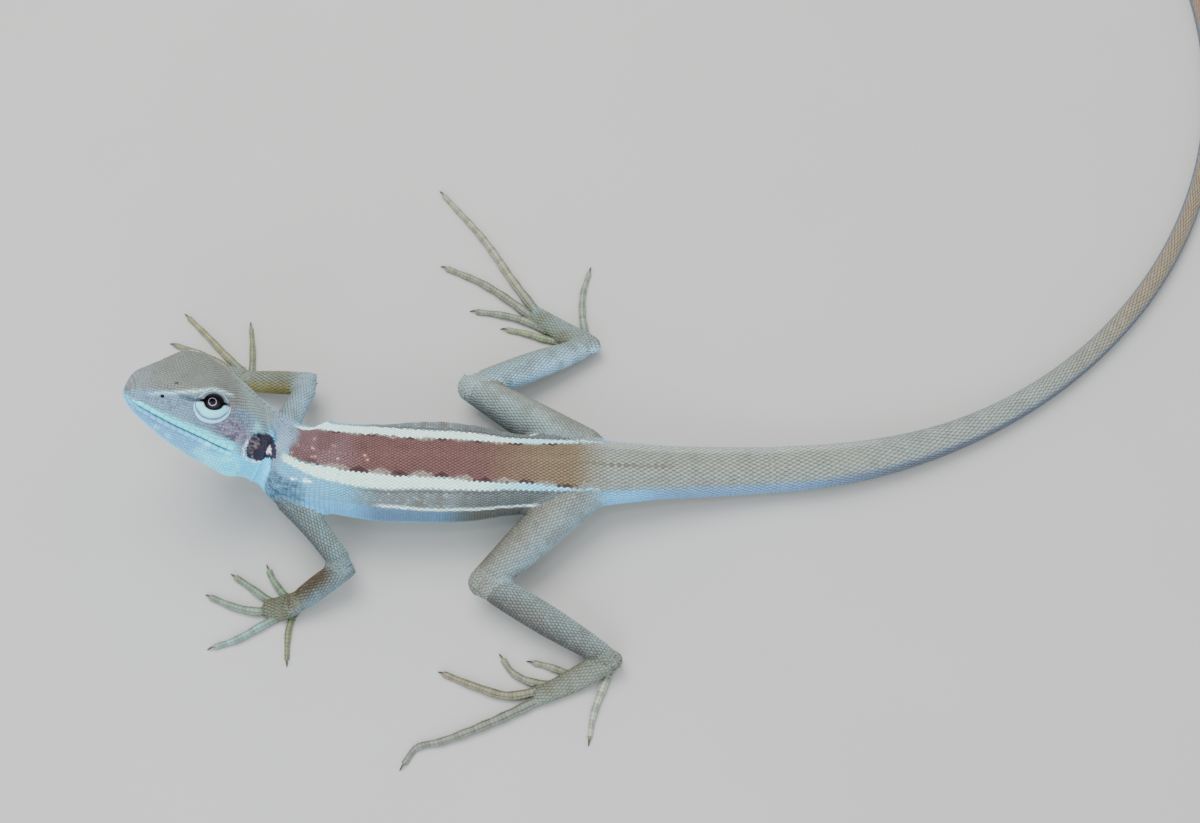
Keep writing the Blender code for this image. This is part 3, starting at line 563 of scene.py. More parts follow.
def eyeAxes(hand, turn, lift):
    # along the lids, over the eye, and out of it
    turn, lift = math.radians(turn), math.radians(lift)
    sideways = hand * axes[1] * math.cos(turn) + axes[0] * math.sin(turn)
    out = sideways * math.cos(lift) + axes[2] * math.sin(lift)
    across = unit(axes[0] - out * dot(axes[0], out))
    return np.array((across, np.cross(across, out) * hand, out))


lidAxes = {hand: eyeAxes(hand, eye["turn"], eye["lift"]) for hand in sideName}
for hand in sideName:  # the middle one points up on both sides
    if lidAxes[hand][1] @ axes[2] < 0:
        lidAxes[hand][1] *= -1


def swellLids(place):
    # near an eye the skin keeps at least the lids' distance from its middle, eased in
    ease = 0.9
    for hand in sideName:
        away = place - eyeMiddle[hand]
        r = np.linalg.norm(away, axis=-1)
        lid = eye["radius"] + eye["lid"]
        h = np.clip(0.5 + 0.5 * (lid - r) / ease, 0, 1)
        local = away @ lidAxes[hand].T
        over = np.arctan2(local[..., 1], np.maximum(local[..., 2], 0.01))
        turned = np.hypot(local[..., 0], local[..., 1]) / np.maximum(r, 0.1)
        crease = (0.16 * bell(turned - 0.80, 0.05) * (over < 0)
                  + 0.12 * bell(turned - 0.97, 0.06))
        new = r * (1 - h) + lid * h + ease * h * (1 - h) * 0.5 - crease * (r < lid + 0.8)
        near = (r < lid + 1.2)[..., None]
        place = np.where(near, eyeMiddle[hand] + away * (new / np.maximum(r, 0.1))[..., None],
                         place)
    return place


def trunkRelief(s, t, place):
    # outward move in mm: the mouth's line and lips, ear cups, folds of the neck, the spine
    back, left, up = np.moveaxis(headLocal(place), -1, 0)
    fromLip = np.abs(np.minimum(t, 8 - t) - 2.0)
    mouth = smoothStep((head["mouthCorner"] - back) / 2.0) * (s < headEnd)
    relief = mouth * (0.14 * bell(fromLip - 0.16, 0.09) - head["mouthDepth"] * bell(fromLip, 0.022))
    drum = np.where((np.abs(left) > 5) & (s < headEnd + 4), fromEar(back, up), 9)
    relief -= 0.62 * falling(drum, 1.08, 0.22)
    relief += 0.16 * bell(drum - 1.22, 0.14)
    a = np.abs(signedSide(t))
    behindHead = rising(s, -14.5, 3)
    collar = bell(s + 9.5, 4.5) * rising(a, 0.5, 0.8) * behindHead
    wrinkle = np.sin((s + 1.6 * a + 2.5 * softNoise(place, 5.0, 3)) * 2.1)
    relief += collar * (0.16 * wrinkle - 0.06)
    relief += 0.3 * (softNoise(place, 3.2, 5) - 0.5) * bell(s + 10, 9) * behindHead
    canthus = bell(t - 1.0, 0.16) + bell(t - 7.0, 0.16)
    relief += 0.22 * canthus * rising(back, 3, 3) * falling(back, 14, 3)
    loreal = bell(a - 1.45, 0.3) * rising(back, 3, 3) * falling(back, 12, 3)
    relief -= 0.25 * loreal
    relief += 0.12 * bell(a, 0.12) * rising(s, -20, 10) * falling(s, 60, 20)
    ribs = np.sin(s * 2 * math.pi / 3.4) * bell(a - 1.35, 0.5)
    relief += 0.05 * ribs * rising(s, 2, 6) * falling(s, 44, 8)
    flankHollow = bell(a - 1.5, 0.5) * bell(s - 44, 7)
    return relief - 0.3 * flankHollow


def skinPlace(form, s, t):
    # the form's surface, moved in by the coat's depth and out by its relief
    place, out, _ = framesOn(form, s, t)
    lift = np.full(place.shape[:-1], -coat["depth"])
    if form is body:
        lift = lift + trunkRelief(s, t, place)
        lift = np.where(s > 90, -0.1, lift)
    elif "digit" in form["name"]:
        lift = lift + 0.08
    place = place + out * lift[..., None]
    if form is body:
        place = swellLids(place)
    place[..., 2] = np.maximum(place[..., 2], coat["skinLowest"])
    return place


# meshes
def makeMesh(name, vertices, faces, uv=None):
    # a smooth mesh from places in millimetres, with the chart's places as its UV map
    mesh = bpy.data.meshes.new(name)
    mesh.from_pydata((vertices * mm).tolist(), [], faces)
    if uv is not None:
        layer = mesh.uv_layers.new(name="OFBake")
        layer.data.foreach_set("uv", np.asarray(uv, np.float32).ravel())
    mesh.polygons.foreach_set("use_smooth", np.ones(len(mesh.polygons), bool))
    mesh.update()
    return mesh


def newObject(name, data):
    # an object of this mesh, lamp or camera in the scene, at the origin
    thing = bpy.data.objects.new(name, data)
    bpy.context.scene.collection.objects.link(thing)
    return thing


def gridFaces(rows, around):
    # quads of a tube, wound so that they face outwards
    i, j = np.meshgrid(np.arange(rows - 1), np.arange(around), indexing="ij")
    k = (j + 1) % around
    corners = (i * around + j, i * around + k, (i + 1) * around + k, (i + 1) * around + j)
    return np.stack(corners, axis=-1).reshape(-1, 4)


def closedTube(name, rings, uvS=None, uvT=None, chartName=None):
    # rings of points with a pole at each end; the UV map follows each ring's s and point's t
    rows, around = rings.shape[:2]
    poles = np.stack((rings[0].mean(axis=0), rings[-1].mean(axis=0)))
    vertices = np.concatenate((rings.reshape(-1, 3), poles))
    quads = gridFaces(rows, around)
    j = np.arange(around)
    k = (j + 1) % around
    pole = rows * around
    first = np.stack((np.full(around, pole), k, j), axis=1)
    last = np.stack((np.full(around, pole + 1), pole - around + j, pole - around + k), axis=1)
    faces = quads.tolist() + first.tolist() + last.tolist()
    uv = None
    if chartName:
        i, jj = np.meshgrid(np.arange(rows - 1), j, indexing="ij")
        tEnd = np.append(uvT, 8.0)
        sCorner = np.stack((uvS[i], uvS[i], uvS[i + 1], uvS[i + 1]), axis=-1).reshape(-1, 4)
        tCorner = np.stack((tEnd[jj], tEnd[jj + 1], tEnd[jj + 1], tEnd[jj]), axis=-1)
        middle = sCorner.mean(axis=1, keepdims=True)
        uv = chartPlace(chartName, sCorner, tCorner.reshape(-1, 4), middle).reshape(-1, 2)
        capUv = []
        for station in (uvS[0], uvS[-1]):
            tCap = np.stack((tEnd[:-1], tEnd[1:], tEnd[:-1]), axis=1)
            capUv.append(chartPlace(chartName, np.full(tCap.shape, station), tCap).reshape(-1, 2))
        uv = np.concatenate((uv, *capUv))
    return makeMesh(name, vertices, faces, uv)


def skinGrid(form):
    # rings over a form, closest at the snout and along the line of the mouth
    if form is body:
        extra = np.array((0.012, 0.03, 0.055, 0.09))
        lip = np.concatenate((2 - extra, 2 + extra))
        t = np.sort(np.concatenate((np.linspace(0, 8, 120, endpoint=False), lip, 8 - lip)))
        s = np.concatenate((
            snoutTip + head["size"] * (head["start"]
                                       + head["blunt"] * (1 - np.cos(np.linspace(0.06, 1.5, 9)))),
            np.arange(snoutTip + 3.7, headEnd + 12, 0.3), np.arange(headEnd + 12, 61, 0.65),
            np.arange(61.0, 203.0, 1.2), np.arange(203.0, tailTip, 1.8), [tailTip - 0.02]))
    else:
        thin = "digit" in form["name"]
        t = np.linspace(0, 8, 14 if thin else 40, endpoint=False)
        step = 0.55 if thin else 0.5
        s = np.linspace(form["start"] + 0.01, form["end"] - 0.01,
                        int((form["end"] - form["start"]) / step) + 2)
    rings = skinPlace(form, s[:, None], t[None, :])
    return closedTube(form["name"], rings, s, t, form["name"])


def combine(thing, others, operation):
    # one Boolean with a collection of closed pieces, applied; the pieces are then removed
    group = bpy.data.collections.new("others")
    for other in others:
        group.objects.link(other)
    boolean = thing.modifiers.new("combine", "BOOLEAN")
    boolean.operation = operation
    boolean.operand_type = "COLLECTION"
    boolean.collection = group
    boolean.solver = "MANIFOLD"
    bpy.context.view_layer.update()
    graph = bpy.context.evaluated_depsgraph_get()
    mesh = bpy.data.meshes.new_from_object(thing.evaluated_get(graph))
    thing.modifiers.clear()
    thing.data = mesh
    for other in others:
        bpy.data.objects.remove(other)
    bpy.data.collections.remove(group)


def vertexArray(mesh):
    # the vertices' places in millimetres
    flat = np.empty(len(mesh.vertices) * 3, np.float32)
    mesh.vertices.foreach_get("co", flat)
    return flat.reshape(-1, 3).astype(float) / mm


def faceArray(mesh):
    # every face as a triangle of vertex numbers
    mesh.calc_loop_triangles()
    flat = np.empty(len(mesh.loop_triangles) * 3, np.int32)
    mesh.loop_triangles.foreach_get("vertices", flat)
    return flat.reshape(-1, 3)


def joinSkin():
    # the union of all forms, each face marked with the number of the form it comes from
    pieces = []
    for number, form in enumerate(forms.values()):
        thing = newObject(form["name"], skinGrid(form))
        layer = thing.data.attributes.new("formNumber", "INT", "FACE")
        layer.data.foreach_set("value", np.full(len(thing.data.polygons), number, np.int32))
        pieces.append(thing)
    skin = pieces[0]
    skin.name = "skin"
    combine(skin, pieces[1:], "UNION")
    return skin


joinEase = {
    # the crease behind the jaw, in s and t, and how far round it the skin is smoothed
    "s": (-18.6, -13.5),
    "t": (2.5, 3.0, 3.5, 4.0, 4.5, 5.0, 5.5),
    "reach": 5.4,
    "rounds": 130,
}


def easeJoins(skin):
    # near the lines where two forms meet, vertices move towards the mean of their neighbours,
    # round after round, by half the way times a weight that falls off from the line
    mesh = skin.data
    place = vertexArray(mesh)
    count = len(place)
    number = np.empty(len(mesh.polygons), np.int32)
    mesh.attributes["formNumber"].data.foreach_get("value", number)
    loops = np.empty(len(mesh.loops), np.int32)
    mesh.loops.foreach_get("vertex_index", loops)
    totals = np.empty(len(mesh.polygons), np.int32)
    mesh.polygons.foreach_get("loop_total", totals)
    ofLoop = np.repeat(number, totals)
    lowest, highest = np.full(count, 999), np.full(count, -1)
    np.minimum.at(lowest, loops, ofLoop)
    np.maximum.at(highest, loops, ofLoop)
    names = list(forms)
    thin = np.array(["digit" in name for name in names])
    seam = np.flatnonzero(lowest != highest)
    tree = KDTree(len(seam))
    for n, index in enumerate(seam):
        tree.insert(place[index], n)
    tree.balance()
    found = [tree.find(p) for p in place]
    distance = np.array([f[2] for f in found])
    nearest = seam[np.array([f[1] for f in found])]
    reach = np.where(thin[highest[nearest]], 0.5, 1.9)
    weight = smoothStep(1 - distance / reach)
    # so do those round the crease where the jaw turns in to the neck
    crease = np.concatenate([onForm(body, np.linspace(*joinEase["s"], 6), np.full(6, t))
                             for t in joinEase["t"]])
    for middle in crease:
        away = np.linalg.norm(place - middle, axis=1)
        weight = np.maximum(weight, smoothStep((joinEase["reach"] - away) / 3))
    edges = np.empty(len(mesh.edges) * 2, np.int32)
    mesh.edges.foreach_get("vertices", edges)
    a, b = edges.reshape(-1, 2).T
    degree = np.bincount(a, minlength=count) + np.bincount(b, minlength=count)
    for _ in range(joinEase["rounds"]):
        total = np.stack([np.bincount(a, place[b, k], count) + np.bincount(b, place[a, k], count)
                          for k in range(3)], axis=1)
        place += (weight * 0.5)[:, None] * (total / np.maximum(degree, 1)[:, None] - place)
    place[:, 2] = np.maximum(place[:, 2], coat["skinLowest"])
    mesh.vertices.foreach_set("co", (place * mm).astype(np.float32).ravel())
    mesh.update()


skin = joinSkin()
print("skin joined:", len(skin.data.polygons), "faces")
easeJoins(skin)
skinVertices, skinFaces = vertexArray(skin.data), faceArray(skin.data)
skinTree = BVHTree.FromPolygons(skinVertices.tolist(), skinFaces.tolist())
print("joins eased")


def ballRings(tilt, around, ballAxes):
    # rings of unit vectors round the third axis, one ring for each tilt away from it
    level = np.cos(around)[:, None] * ballAxes[0] + np.sin(around)[:, None] * ballAxes[1]
    return np.sin(tilt)[:, None, None] * level + np.cos(tilt)[:, None, None] * ballAxes[2]


def lidHeight(across):
    # half height of the opening: a round middle as wide as the iris, and narrow corners
    wide, high = eye["opening"]
    corners = 1 - np.clip(np.abs(across) / wide, 0, 1)**2
    middle = np.clip(1 - (np.asarray(across) / 1.95)**2, 0, 1)**0.55
    return high * (0.26 * corners + 0.74 * middle)


def lidEdge(turn, margin=0.0):
    # the opening's edge at each turn round it, across and over, moved out by the margin
    across = np.cos(turn) * eye["opening"][0]
    way = np.where(np.abs(np.sin(turn)) < 1e-6, 0.0, np.sign(np.sin(turn)))
    return across, way * (lidHeight(across) + margin)


def eyeCutters():
    # closed pieces to cut away: the ball's hollow, the opening over it, and the nostril
    cutters = []
    around = np.linspace(0, 2 * math.pi, 48, endpoint=False)
    for hand in sideName:
        rings = ballRings(np.linspace(0.01, math.pi - 0.01, 40), around, lidAxes[hand])
        cutters.append(rings * (eye["radius"] + 0.05) + eyeMiddle[hand])
        across, over = lidEdge(around, 0.15)
        ring = across[:, None] * lidAxes[hand][0] + over[:, None] * lidAxes[hand][1]
        depth = np.array((1.0, 2.2, 3.4, 5.5))
        cutters.append(eyeMiddle[hand] + ring + depth[:, None, None] * lidAxes[hand][2])
        cutters.append(onHead(head["nostril"], hand) + rings * head["nostrilRadius"])
    things = []
    for n, rings in enumerate(cutters):
        mesh = closedTube(f"cutter_{n}", rings)
        layer = mesh.uv_layers.new(name="OFBake")
        layer.data.foreach_set("uv", np.full(len(mesh.loops) * 2, 0.998, np.float32))
        things.append(newObject(f"cutter_{n}", mesh))
    return things


def turnOutwards(things):
    # a closed piece whose volume counts negative is inside out
    for thing in things:
        place, faces = vertexArray(thing.data), faceArray(thing.data)
        corners = place[faces] - place.mean(axis=0)
        if np.sum(dot(corners[:, 0], np.cross(corners[:, 1], corners[:, 2]))) < 0:
            thing.data.flip_normals()


cutters = eyeCutters()
turnOutwards(cutters)
combine(skin, cutters, "DIFFERENCE")
skin.data.polygons.foreach_set("use_smooth", np.ones(len(skin.data.polygons), bool))
skin.data.set_sharp_from_angle(angle=math.radians(60))
print("eyes and nostrils cut:", len(skin.data.polygons), "faces")


# markings: one set of colours for skin and scales, worked out from s, t and the place. Tones
# are written about as they look in this light, from 0 to 255; own tones are the surface's own
tint = {
    "brightest": 228,  # a paler tone is scaled down to this
    "power": (16.99, -24.54, 18.40, -8.45),  # a cubic of the tone, which two is raised to
    "purer": 0.13,  # how much further from grey the surface is than it looks
    "grey": (0.19, 0.11, 0.70),
    "palest": 0.94,
}


def ownTone(seen):
    # two to the power of a cubic of each channel, moved away from its grey, coded again
    seen = np.asarray(seen, float)
    seen = seen * min(1.0, tint["brightest"] / seen.max()) / 255
    raw = 2.0 ** np.polyval(tint["power"], seen)
    own = np.clip(raw + tint["purer"] * (raw - raw @ np.array(tint["grey"])), 0, tint["palest"])
    return 255 * np.where(own < 0.0031308, own * 12.92, 1.055 * own ** (1 / 2.4) - 0.055)


def linear(own):
    # a coded tone as the share of light that the surface gives back
    c = np.clip(own / 255, 0, 1)
    return np.where(c < 0.04045, c / 12.92, ((c + 0.055) / 1.055) ** 2.4)


def flood(shape, seen):
    # one tone all over
    return np.broadcast_to(ownTone(seen), (*shape, 3))


def paint(colour, other, weight):
    # mixed by weight with one tone as seen, or with a whole field of own tones
    if np.ndim(other) == 1:
        other = ownTone(other)
    return colour + (other - colour) * np.asarray(weight)[..., None]


def paintAll(colour, *tones):
    # painted with each tone in turn, by its weight
    for tone, weight in tones:
        colour = paint(colour, tone, weight)
    return colour


backLines = {
    # distance: inner and outer edge of each cream line, as t
    "left": (
        (-11.0, 0.38, 0.54), (-5.0, 0.37, 0.61), (-1.4, 0.39, 0.72), (2.8, 0.42, 0.80),
        (7.7, 0.43, 0.83), (12.6, 0.47, 0.83), (17.5, 0.50, 0.81), (22.5, 0.53, 0.83),
        (27.5, 0.59, 0.85), (32.2, 0.64, 0.90), (37.2, 0.70, 0.94), (42.0, 0.78, 1.03),
        (47.0, 0.91, 1.10), (54.0, 1.05, 1.14),
    ),
    "right": (
        (-14.5, 0.22, 0.38), (-12.0, 0.38, 0.58), (-10.0, 0.56, 0.82), (-8.5, 0.64, 0.95),
        (-5.0, 0.64, 1.03), (2.5, 0.70, 1.10),
        (7.3, 0.67, 1.07), (12.2, 0.57, 0.90), (17.2, 0.48, 0.77), (22.2, 0.47, 0.74),
        (27.2, 0.48, 0.77), (32.2, 0.53, 0.79), (37.1, 0.59, 0.84), (42.0, 0.64, 0.92),
        (47.0, 0.74, 0.98), (54.0, 0.90, 1.02),
    ),
    # the thin white line low on each flank
    "lateral": (
        (9.7, 1.37), (12.7, 1.41), (17.7, 1.49), (22.5, 1.50), (27.5, 1.53), (32.5, 1.61),
        (37.2, 1.70), (41.0, 1.70),
    ),
    "cream": (207, 228, 214),
    "creamRear": (179, 210, 220),
    "creamRight": (209, 228, 215),
    "brick": (134, 100, 96),
    "olive": (147, 133, 108),
    "blotch": (84, 56, 60),
    "scallop": (172, 166, 158),
    # s and t of the small spots on the band, and of the white ones on the shoulder
    "dots": ((-6.7, 0.03), (-6.7, 0.28), (-3.7, -0.30), (-3.2, -0.02), (0.3, -0.20),
             (-2.7, 0.20), (1.3, 0.15), (6.3, -0.02), (6.8, 0.10)),
    "shoulderSpots": ((-4.3, 0.93), (-2.7, 0.86)),
}


def bodyTone(s, side, place):
    # flanks, back band, cream lines, hips and tail
    a = np.abs(side)
    fine, broad = softNoise(place, 0.55, 21), softNoise(place, 2.6, 22)
    left = side > 0
    edges = np.where(left.ravel()[:, None], profile(backLines["left"], s.ravel()),
                     profile(backLines["right"], s.ravel()))
    inner, outer = edges[:, 0].reshape(s.shape), edges[:, 1].reshape(s.shape)
    ragged = 0.05 * (fine - 0.5) + 0.04 * (broad - 0.5)
    # flanks: grey, bluer in front and below, the blue below partly their own and partly painted bluish
    # shade from the sky, with upright bars
    colour = flood(s.shape, (150, 158, 160))
    colour = paint(colour, (151, 190, 202), falling(s, 10, 9))
    bars = smoothStep((np.sin(s * 1.45 + 3 * broad) - 0.2) / 0.6)
    colour = paint(colour, (136, 130, 116), 0.5 * bars * window(s, 14, 50, 8))
    flecks = rising(fine, 0.62, 0.15)
    colour = paint(colour, (176, 190, 192), 0.55 * flecks * window(s, 4, 48, 8))
    colour = paint(colour, (132, 140, 141), rising(s, 23, 7))
    lateral = profile(backLines["lateral"], s.ravel())[:, 0].reshape(s.shape)
    # low on the flank a pale blue-grey, partly the skin's own and partly painted bluish shade from the
    # sky
    under = paint(flood(s.shape, (140, 166, 184)), (156, 195, 210), falling(s, 10, 7))
    # from the middle back the low flank is a darker grey-brown: a browner tone, darkened as painted
    # shade under the belly
    under = paint(under, (120, 124, 118), rising(s, 20, 9))
    colour = paint(colour, under, smoothStep((a - lateral - 0.03) / 0.1))
    colour = paint(colour, (200, 212, 212), rising(a, 2.2, 0.9))
    line = np.clip(1.5 * bell(a - lateral - 0.02 * (broad - 0.5), 0.052), 0, 1) * window(s, 9, 44, 4)
    colour = paint(colour, (211, 225, 225), line)
    # the band along the back, brick in front and olive behind
    band = smoothStep((inner + 0.02 + ragged - a) / 0.03)
    tan = smoothStep((s - 27 + 8 * (broad - 0.5)) / 15)
    bandColour = paint(flood(s.shape, backLines["brick"]), backLines["olive"], tan)
    bandColour = paintAll(
        bandColour,
        ((148, 124, 128), 0.8 * window(s, -16, 4, 7)),
        ((116, 80, 78), 0.35 * rising(broad, 0.5, 0.3) * (1 - tan)),
        ((153, 118, 109), 0.3 * rising(fine, 0.7, 0.2)),
    )
    period = np.where(left, 8.2, 7.1)
    phase = (s - np.where(left, 5.3, 7.6)) / period
    fromDark = (phase - np.round(phase)) * period
    fromPale = (phase + 0.5 - np.round(phase + 0.5)) * period
    reach = np.where(left, 1.0, 0.55)
    run = window(s, -3, 50, 6)
    pale = smoothStep((0.15 * reach * bell(fromPale, 2.3) - (inner - a) + ragged) / 0.04) * run
    bandColour = paint(bandColour, backLines["scallop"], 0.85 * pale)
    dark = smoothStep((0.13 * reach * bell(fromDark, 1.5) - (inner - a) + 0.5 * ragged) / 0.03) * run
    bandColour = paint(bandColour, backLines["blotch"], 0.9 * dark)
    for dotS, dotT in backLines["dots"]:
        spot = bell(np.hypot(s - dotS, (side - dotT) * 7.5), 0.36)
        bandColour = paint(bandColour, (192, 171, 162), smoothStep(spot * 1.6 - 0.3))
    front = np.maximum(-10.6 + 9.2 * side, -14.0) + 2.0 * (fine - 0.5)
    colour = paint(colour, bandColour, band * window(s, front, 70, 2.0))
    # the cream lines, edged below by a thin dark line
    edge = bell(a - outer - 0.05, 0.03) * window(s, 6, 50, 6)
    colour = paint(colour, (92, 96, 100), 0.6 * edge)
    cream = (smoothStep((a - inner - ragged) / 0.03) * smoothStep((outer + 0.3 * ragged - a) / 0.03)
             * window(s, np.where(left, -10.0, -14.0), 54, 3))
    rear = rising(s, 26, 16)
    lineColour = paint(flood(s.shape, backLines["cream"]), backLines["creamRear"], rear)
    lineColour = paint(lineColour, backLines["creamRight"], np.where(left, 0.0, 1 - 0.5 * rear))
    colour = paint(colour, lineColour, cream)
    # hips and tail: grey tan above, pale below and bluish on the low sides, the blue partly painted
    # shade from the sky, browner towards the tip
    tail = rising(s, 46, 9)
    tone = paintAll(
        flood(s.shape, (166, 172, 169)),
        ((160, 152, 136), rising(s, 140, 50)),
        ((163, 145, 125), rising(s, 195, 50)),
        ((166, 165, 152), 0.45 * bell(side, 0.45) * window(s, 48, 110, 16)),
        ((144, 145, 138), 0.25 * rising(broad, 0.55, 0.3)),
    )
    stripe = window(side, -1.3, -0.6, 0.3) * window(s, 50, 110, 20)
    tone = paint(tone, (190, 190, 188), 0.7 * stripe)
    low = smoothStep((a - 1.0 + 0.14 * (fine - 0.5)) / 0.55)
    # the low sides: pale blue-grey, the blue partly the skin's own and partly painted bluish shade from
    # the sky
    tone = paintAll(
        tone,
        ((160, 182, 198), low),
        ((171, 205, 224), 0.8 * low * falling(s, 68, 10)),
        ((132, 138, 148), low * rising(s, 85, 35)),
        ((196, 198, 188), rising(a, 2.4, 0.8) * 0.8),
    )
    midLine = bell(side - np.interp(s, (44, 52, 60, 75), (0.0, 0.1, 0.2, 0.2)), 0.035)
    tone = paint(tone, (96, 90, 80), 0.6 * midLine * window(s, 47, 66, 5))
    # the ends of the cream lines show through
    return paint(colour, tone, tail * (1 - 0.8 * cream))


def neckTone(s, side, place):
    # grey above, pale blue behind the jaw, then dark granules as far as the shoulder
    a = np.where(side > 0, side, np.maximum(-side - 0.3, 0))
    fine, broad = softNoise(place, 0.5, 31), softNoise(place, 1.5, 32)
    colour = flood(s.shape, (170, 184, 194))
    low = rising(a, 0.78, 0.3)
    colour = paint(colour, (124, 163, 180), low)
    fromNet = np.abs(fine - 0.5)
    colour = paintAll(
        colour,
        ((75, 94, 115), 0.6 * low * falling(fromNet, 0.12, 0.08)),
        ((152, 187, 200), 0.5 * low * rising(fromNet, 0.2, 0.06)),
        ((156, 185, 198), rising(a, 2.8, 0.6)),
        ((120, 132, 142), 0.25 * rising(broad, 0.55, 0.2)),
    )
    jawEnd = falling(s, -8.0, 1.4) * rising(a, 0.95, 0.2)
    return paint(colour, (152, 208, 225), jawEnd)


def headTone(s, side, place):
    # greys of the crown, the dark temple, pale lips and jaw whose blue is partly painted sky light, and
    # the lines of brow and snout
    back = headLocal(place)[..., 0]
    a = np.abs(side)
    fine, broad = softNoise(place, 0.5, 41), softNoise(place, 1.8, 42)
    colour = paintAll(
        flood(s.shape, (150, 154, 149)),
        ((158, 164, 165), falling(back, 9, 6)),
        ((136, 138, 132), 0.4 * rising(broad, 0.55, 0.3)),
        ((168, 178, 177), rising(back, 19, 5)),
        ((158, 176, 186), rising(a, 1.02, 0.2)),
        ((116, 132, 144), 0.45 * rising(fine, 0.6, 0.2) * window(a, 1.15, 1.8, 0.2)),
    )
    temple = np.clip(1.4 * bell(back - 20.3, 3.6) * bell(a - 1.58, 0.24), 0, 1)
    colour = paint(colour, (150, 149, 162), 0.75 * temple)
    fromNet = np.abs(softNoise(place, 0.42, 43) - 0.5)
    colour = paint(colour, (102, 98, 118), 0.75 * temple * falling(fromNet, 0.1, 0.06))
    colour = paint(colour, (182, 170, 184), 0.6 * temple * rising(fromNet, 0.18, 0.06))
    pale = bell(np.hypot(back - 25.8, (a - 1.42) * 6), 1.1)
    colour = paint(colour, (186, 213, 214), 0.8 * pale)
    # lips, jaw and throat: pale bluish, the blue partly the skin's own and partly painted sky light on
    # these low surfaces
    lips = rising(a, 1.74, 0.08) * falling(back, 23.5, 3)
    colour = paintAll(
        colour,
        ((161, 213, 225), lips),
        ((156, 191, 206), rising(a, 2.04, 0.06)),
        ((152, 208, 225), rising(a, 1.9, 0.2) * rising(back, 13, 9)),
        ((170, 205, 216), rising(a, 2.6, 0.5)),
        ((181, 217, 223), 0.5 * rising(broad, 0.5, 0.3) * (a > 2.04)),
        ((122, 146, 160), 0.6 * bell(a - 2.0, 0.035) * falling(back, 22, 2)),
    )
    browLine = np.interp(back, (3.5, 8, 11.4, 14, 19), (1.36, 1.17, 1.0, 0.84, 0.86))
    colour = paint(colour, (200, 213, 215), 0.75 * bell(a - browLine, 0.065) * window(back, 4, 19, 2))
    frontLine = np.interp(back, (8.0, 12.0), (1.22, 1.27))
    colour = paint(colour, (66, 72, 88), 0.7 * bell(a - frontLine, 0.05) * window(back, 8.8, 12.6, 1))
    colour = paint(colour, (170, 136, 142), 0.55 * bell(np.hypot(back - 19.2, (a - 1.18) * 7), 0.8))
    fleck = bell(np.hypot(back - 8.2, (side - 0.74) * 5.5), 0.32)
    return paint(colour, (84, 86, 88), np.clip(fleck * 1.3, 0, 1))


earPatch = {
    # how far back and up from the snout's tip, and half lengths and heights
    "middle": (27.15, -3.65),
    "half": (3.2, 2.3),
    "spot": (29.05, -4.1),
    "spotHalf": (0.62, 0.78),
}


def earTone(colour, s, side, place):
    # dark round the ear drum, with a white spot behind it and a pale rim before it
    back, left, up = np.moveaxis(headLocal(place), -1, 0)
    near = (np.abs(left) > 4) & (s < headEnd + 11)
    near = near * smoothStep((np.abs(side) - 0.62) / 0.1)
    flat = np.stack((back, up), axis=-1)
    x, y = np.moveaxis((flat - earPatch["middle"]) / earPatch["half"], -1, 0)
    patch = np.hypot(x, y)
    fine = softNoise(place, 0.5, 51)
    ahead = smoothStep((0.1 - x - 0.6 * y) / 0.5)
    rim = np.clip(1.4 * bell(patch - 1.14, 0.065), 0, 1)
    colour = paint(colour, (209, 213, 225), near * rim * ahead)
    dark = smoothStep((1.04 + 0.06 * (fine - 0.5) - patch) / 0.06)
    colour = paint(colour, (58, 54, 76), near * dark)
    spot = np.linalg.norm((flat - earPatch["spot"]) / earPatch["spotHalf"], axis=-1)
    return paint(colour, (244, 248, 250), near * falling(spot, 1.15, 0.35))


limbTonesAndShade = {
    # on the right of its upper side, along the top, and on the left: the limb's own colours with painted
    # light and shade in them, paler where the light fell and darker where the limb turns from it
    "left_upper_arm": ((166, 178, 176), (139, 156, 159), (106, 116, 119)),
    "right_upper_arm": ((138, 144, 146), (160, 175, 181), (174, 190, 196)),
    "left_forearm": ((144, 162, 171), (86, 74, 56), (98, 82, 58)),
    "right_forearm": ((159, 151, 102), (140, 149, 140), (151, 147, 124)),
    "left_thigh": ((168, 181, 186), (156, 159, 152), (122, 119, 109)),
    "right_thigh": ((132, 141, 143), (168, 179, 178), (144, 144, 134)),
    "left_shank": ((168, 178, 177), (140, 149, 149), (106, 107, 104)),
    "right_shank": ((152, 160, 156), (164, 180, 184), (186, 202, 210)),
    "left_hand": ((126, 134, 118), (120, 127, 106), (112, 116, 96)),
    "right_hand": ((145, 155, 146), (147, 158, 150), (150, 160, 154)),
    "left_foot": ((150, 158, 150), (145, 152, 142), (132, 134, 116)),
    "right_foot": ((138, 146, 132), (147, 159, 155), (154, 166, 164)),
}
digitTones = {
    # the tone that each digit passes into towards its claw, inner one first
    "left_hand": ((150, 166, 148), (152, 166, 154), (157, 170, 160), (161, 182, 180), (146, 153, 124)),
    "right_hand": ((150, 150, 126), (152, 152, 130), (158, 158, 136), (168, 166, 140), (158, 158, 134)),
    "left_foot": ((162, 166, 148), (158, 160, 144), (160, 156, 135), (154, 158, 150), (186, 190, 182)),
    "right_foot": ((166, 174, 150), (160, 166, 152), (161, 162, 149), (178, 176, 164), (168, 174, 164)),
}


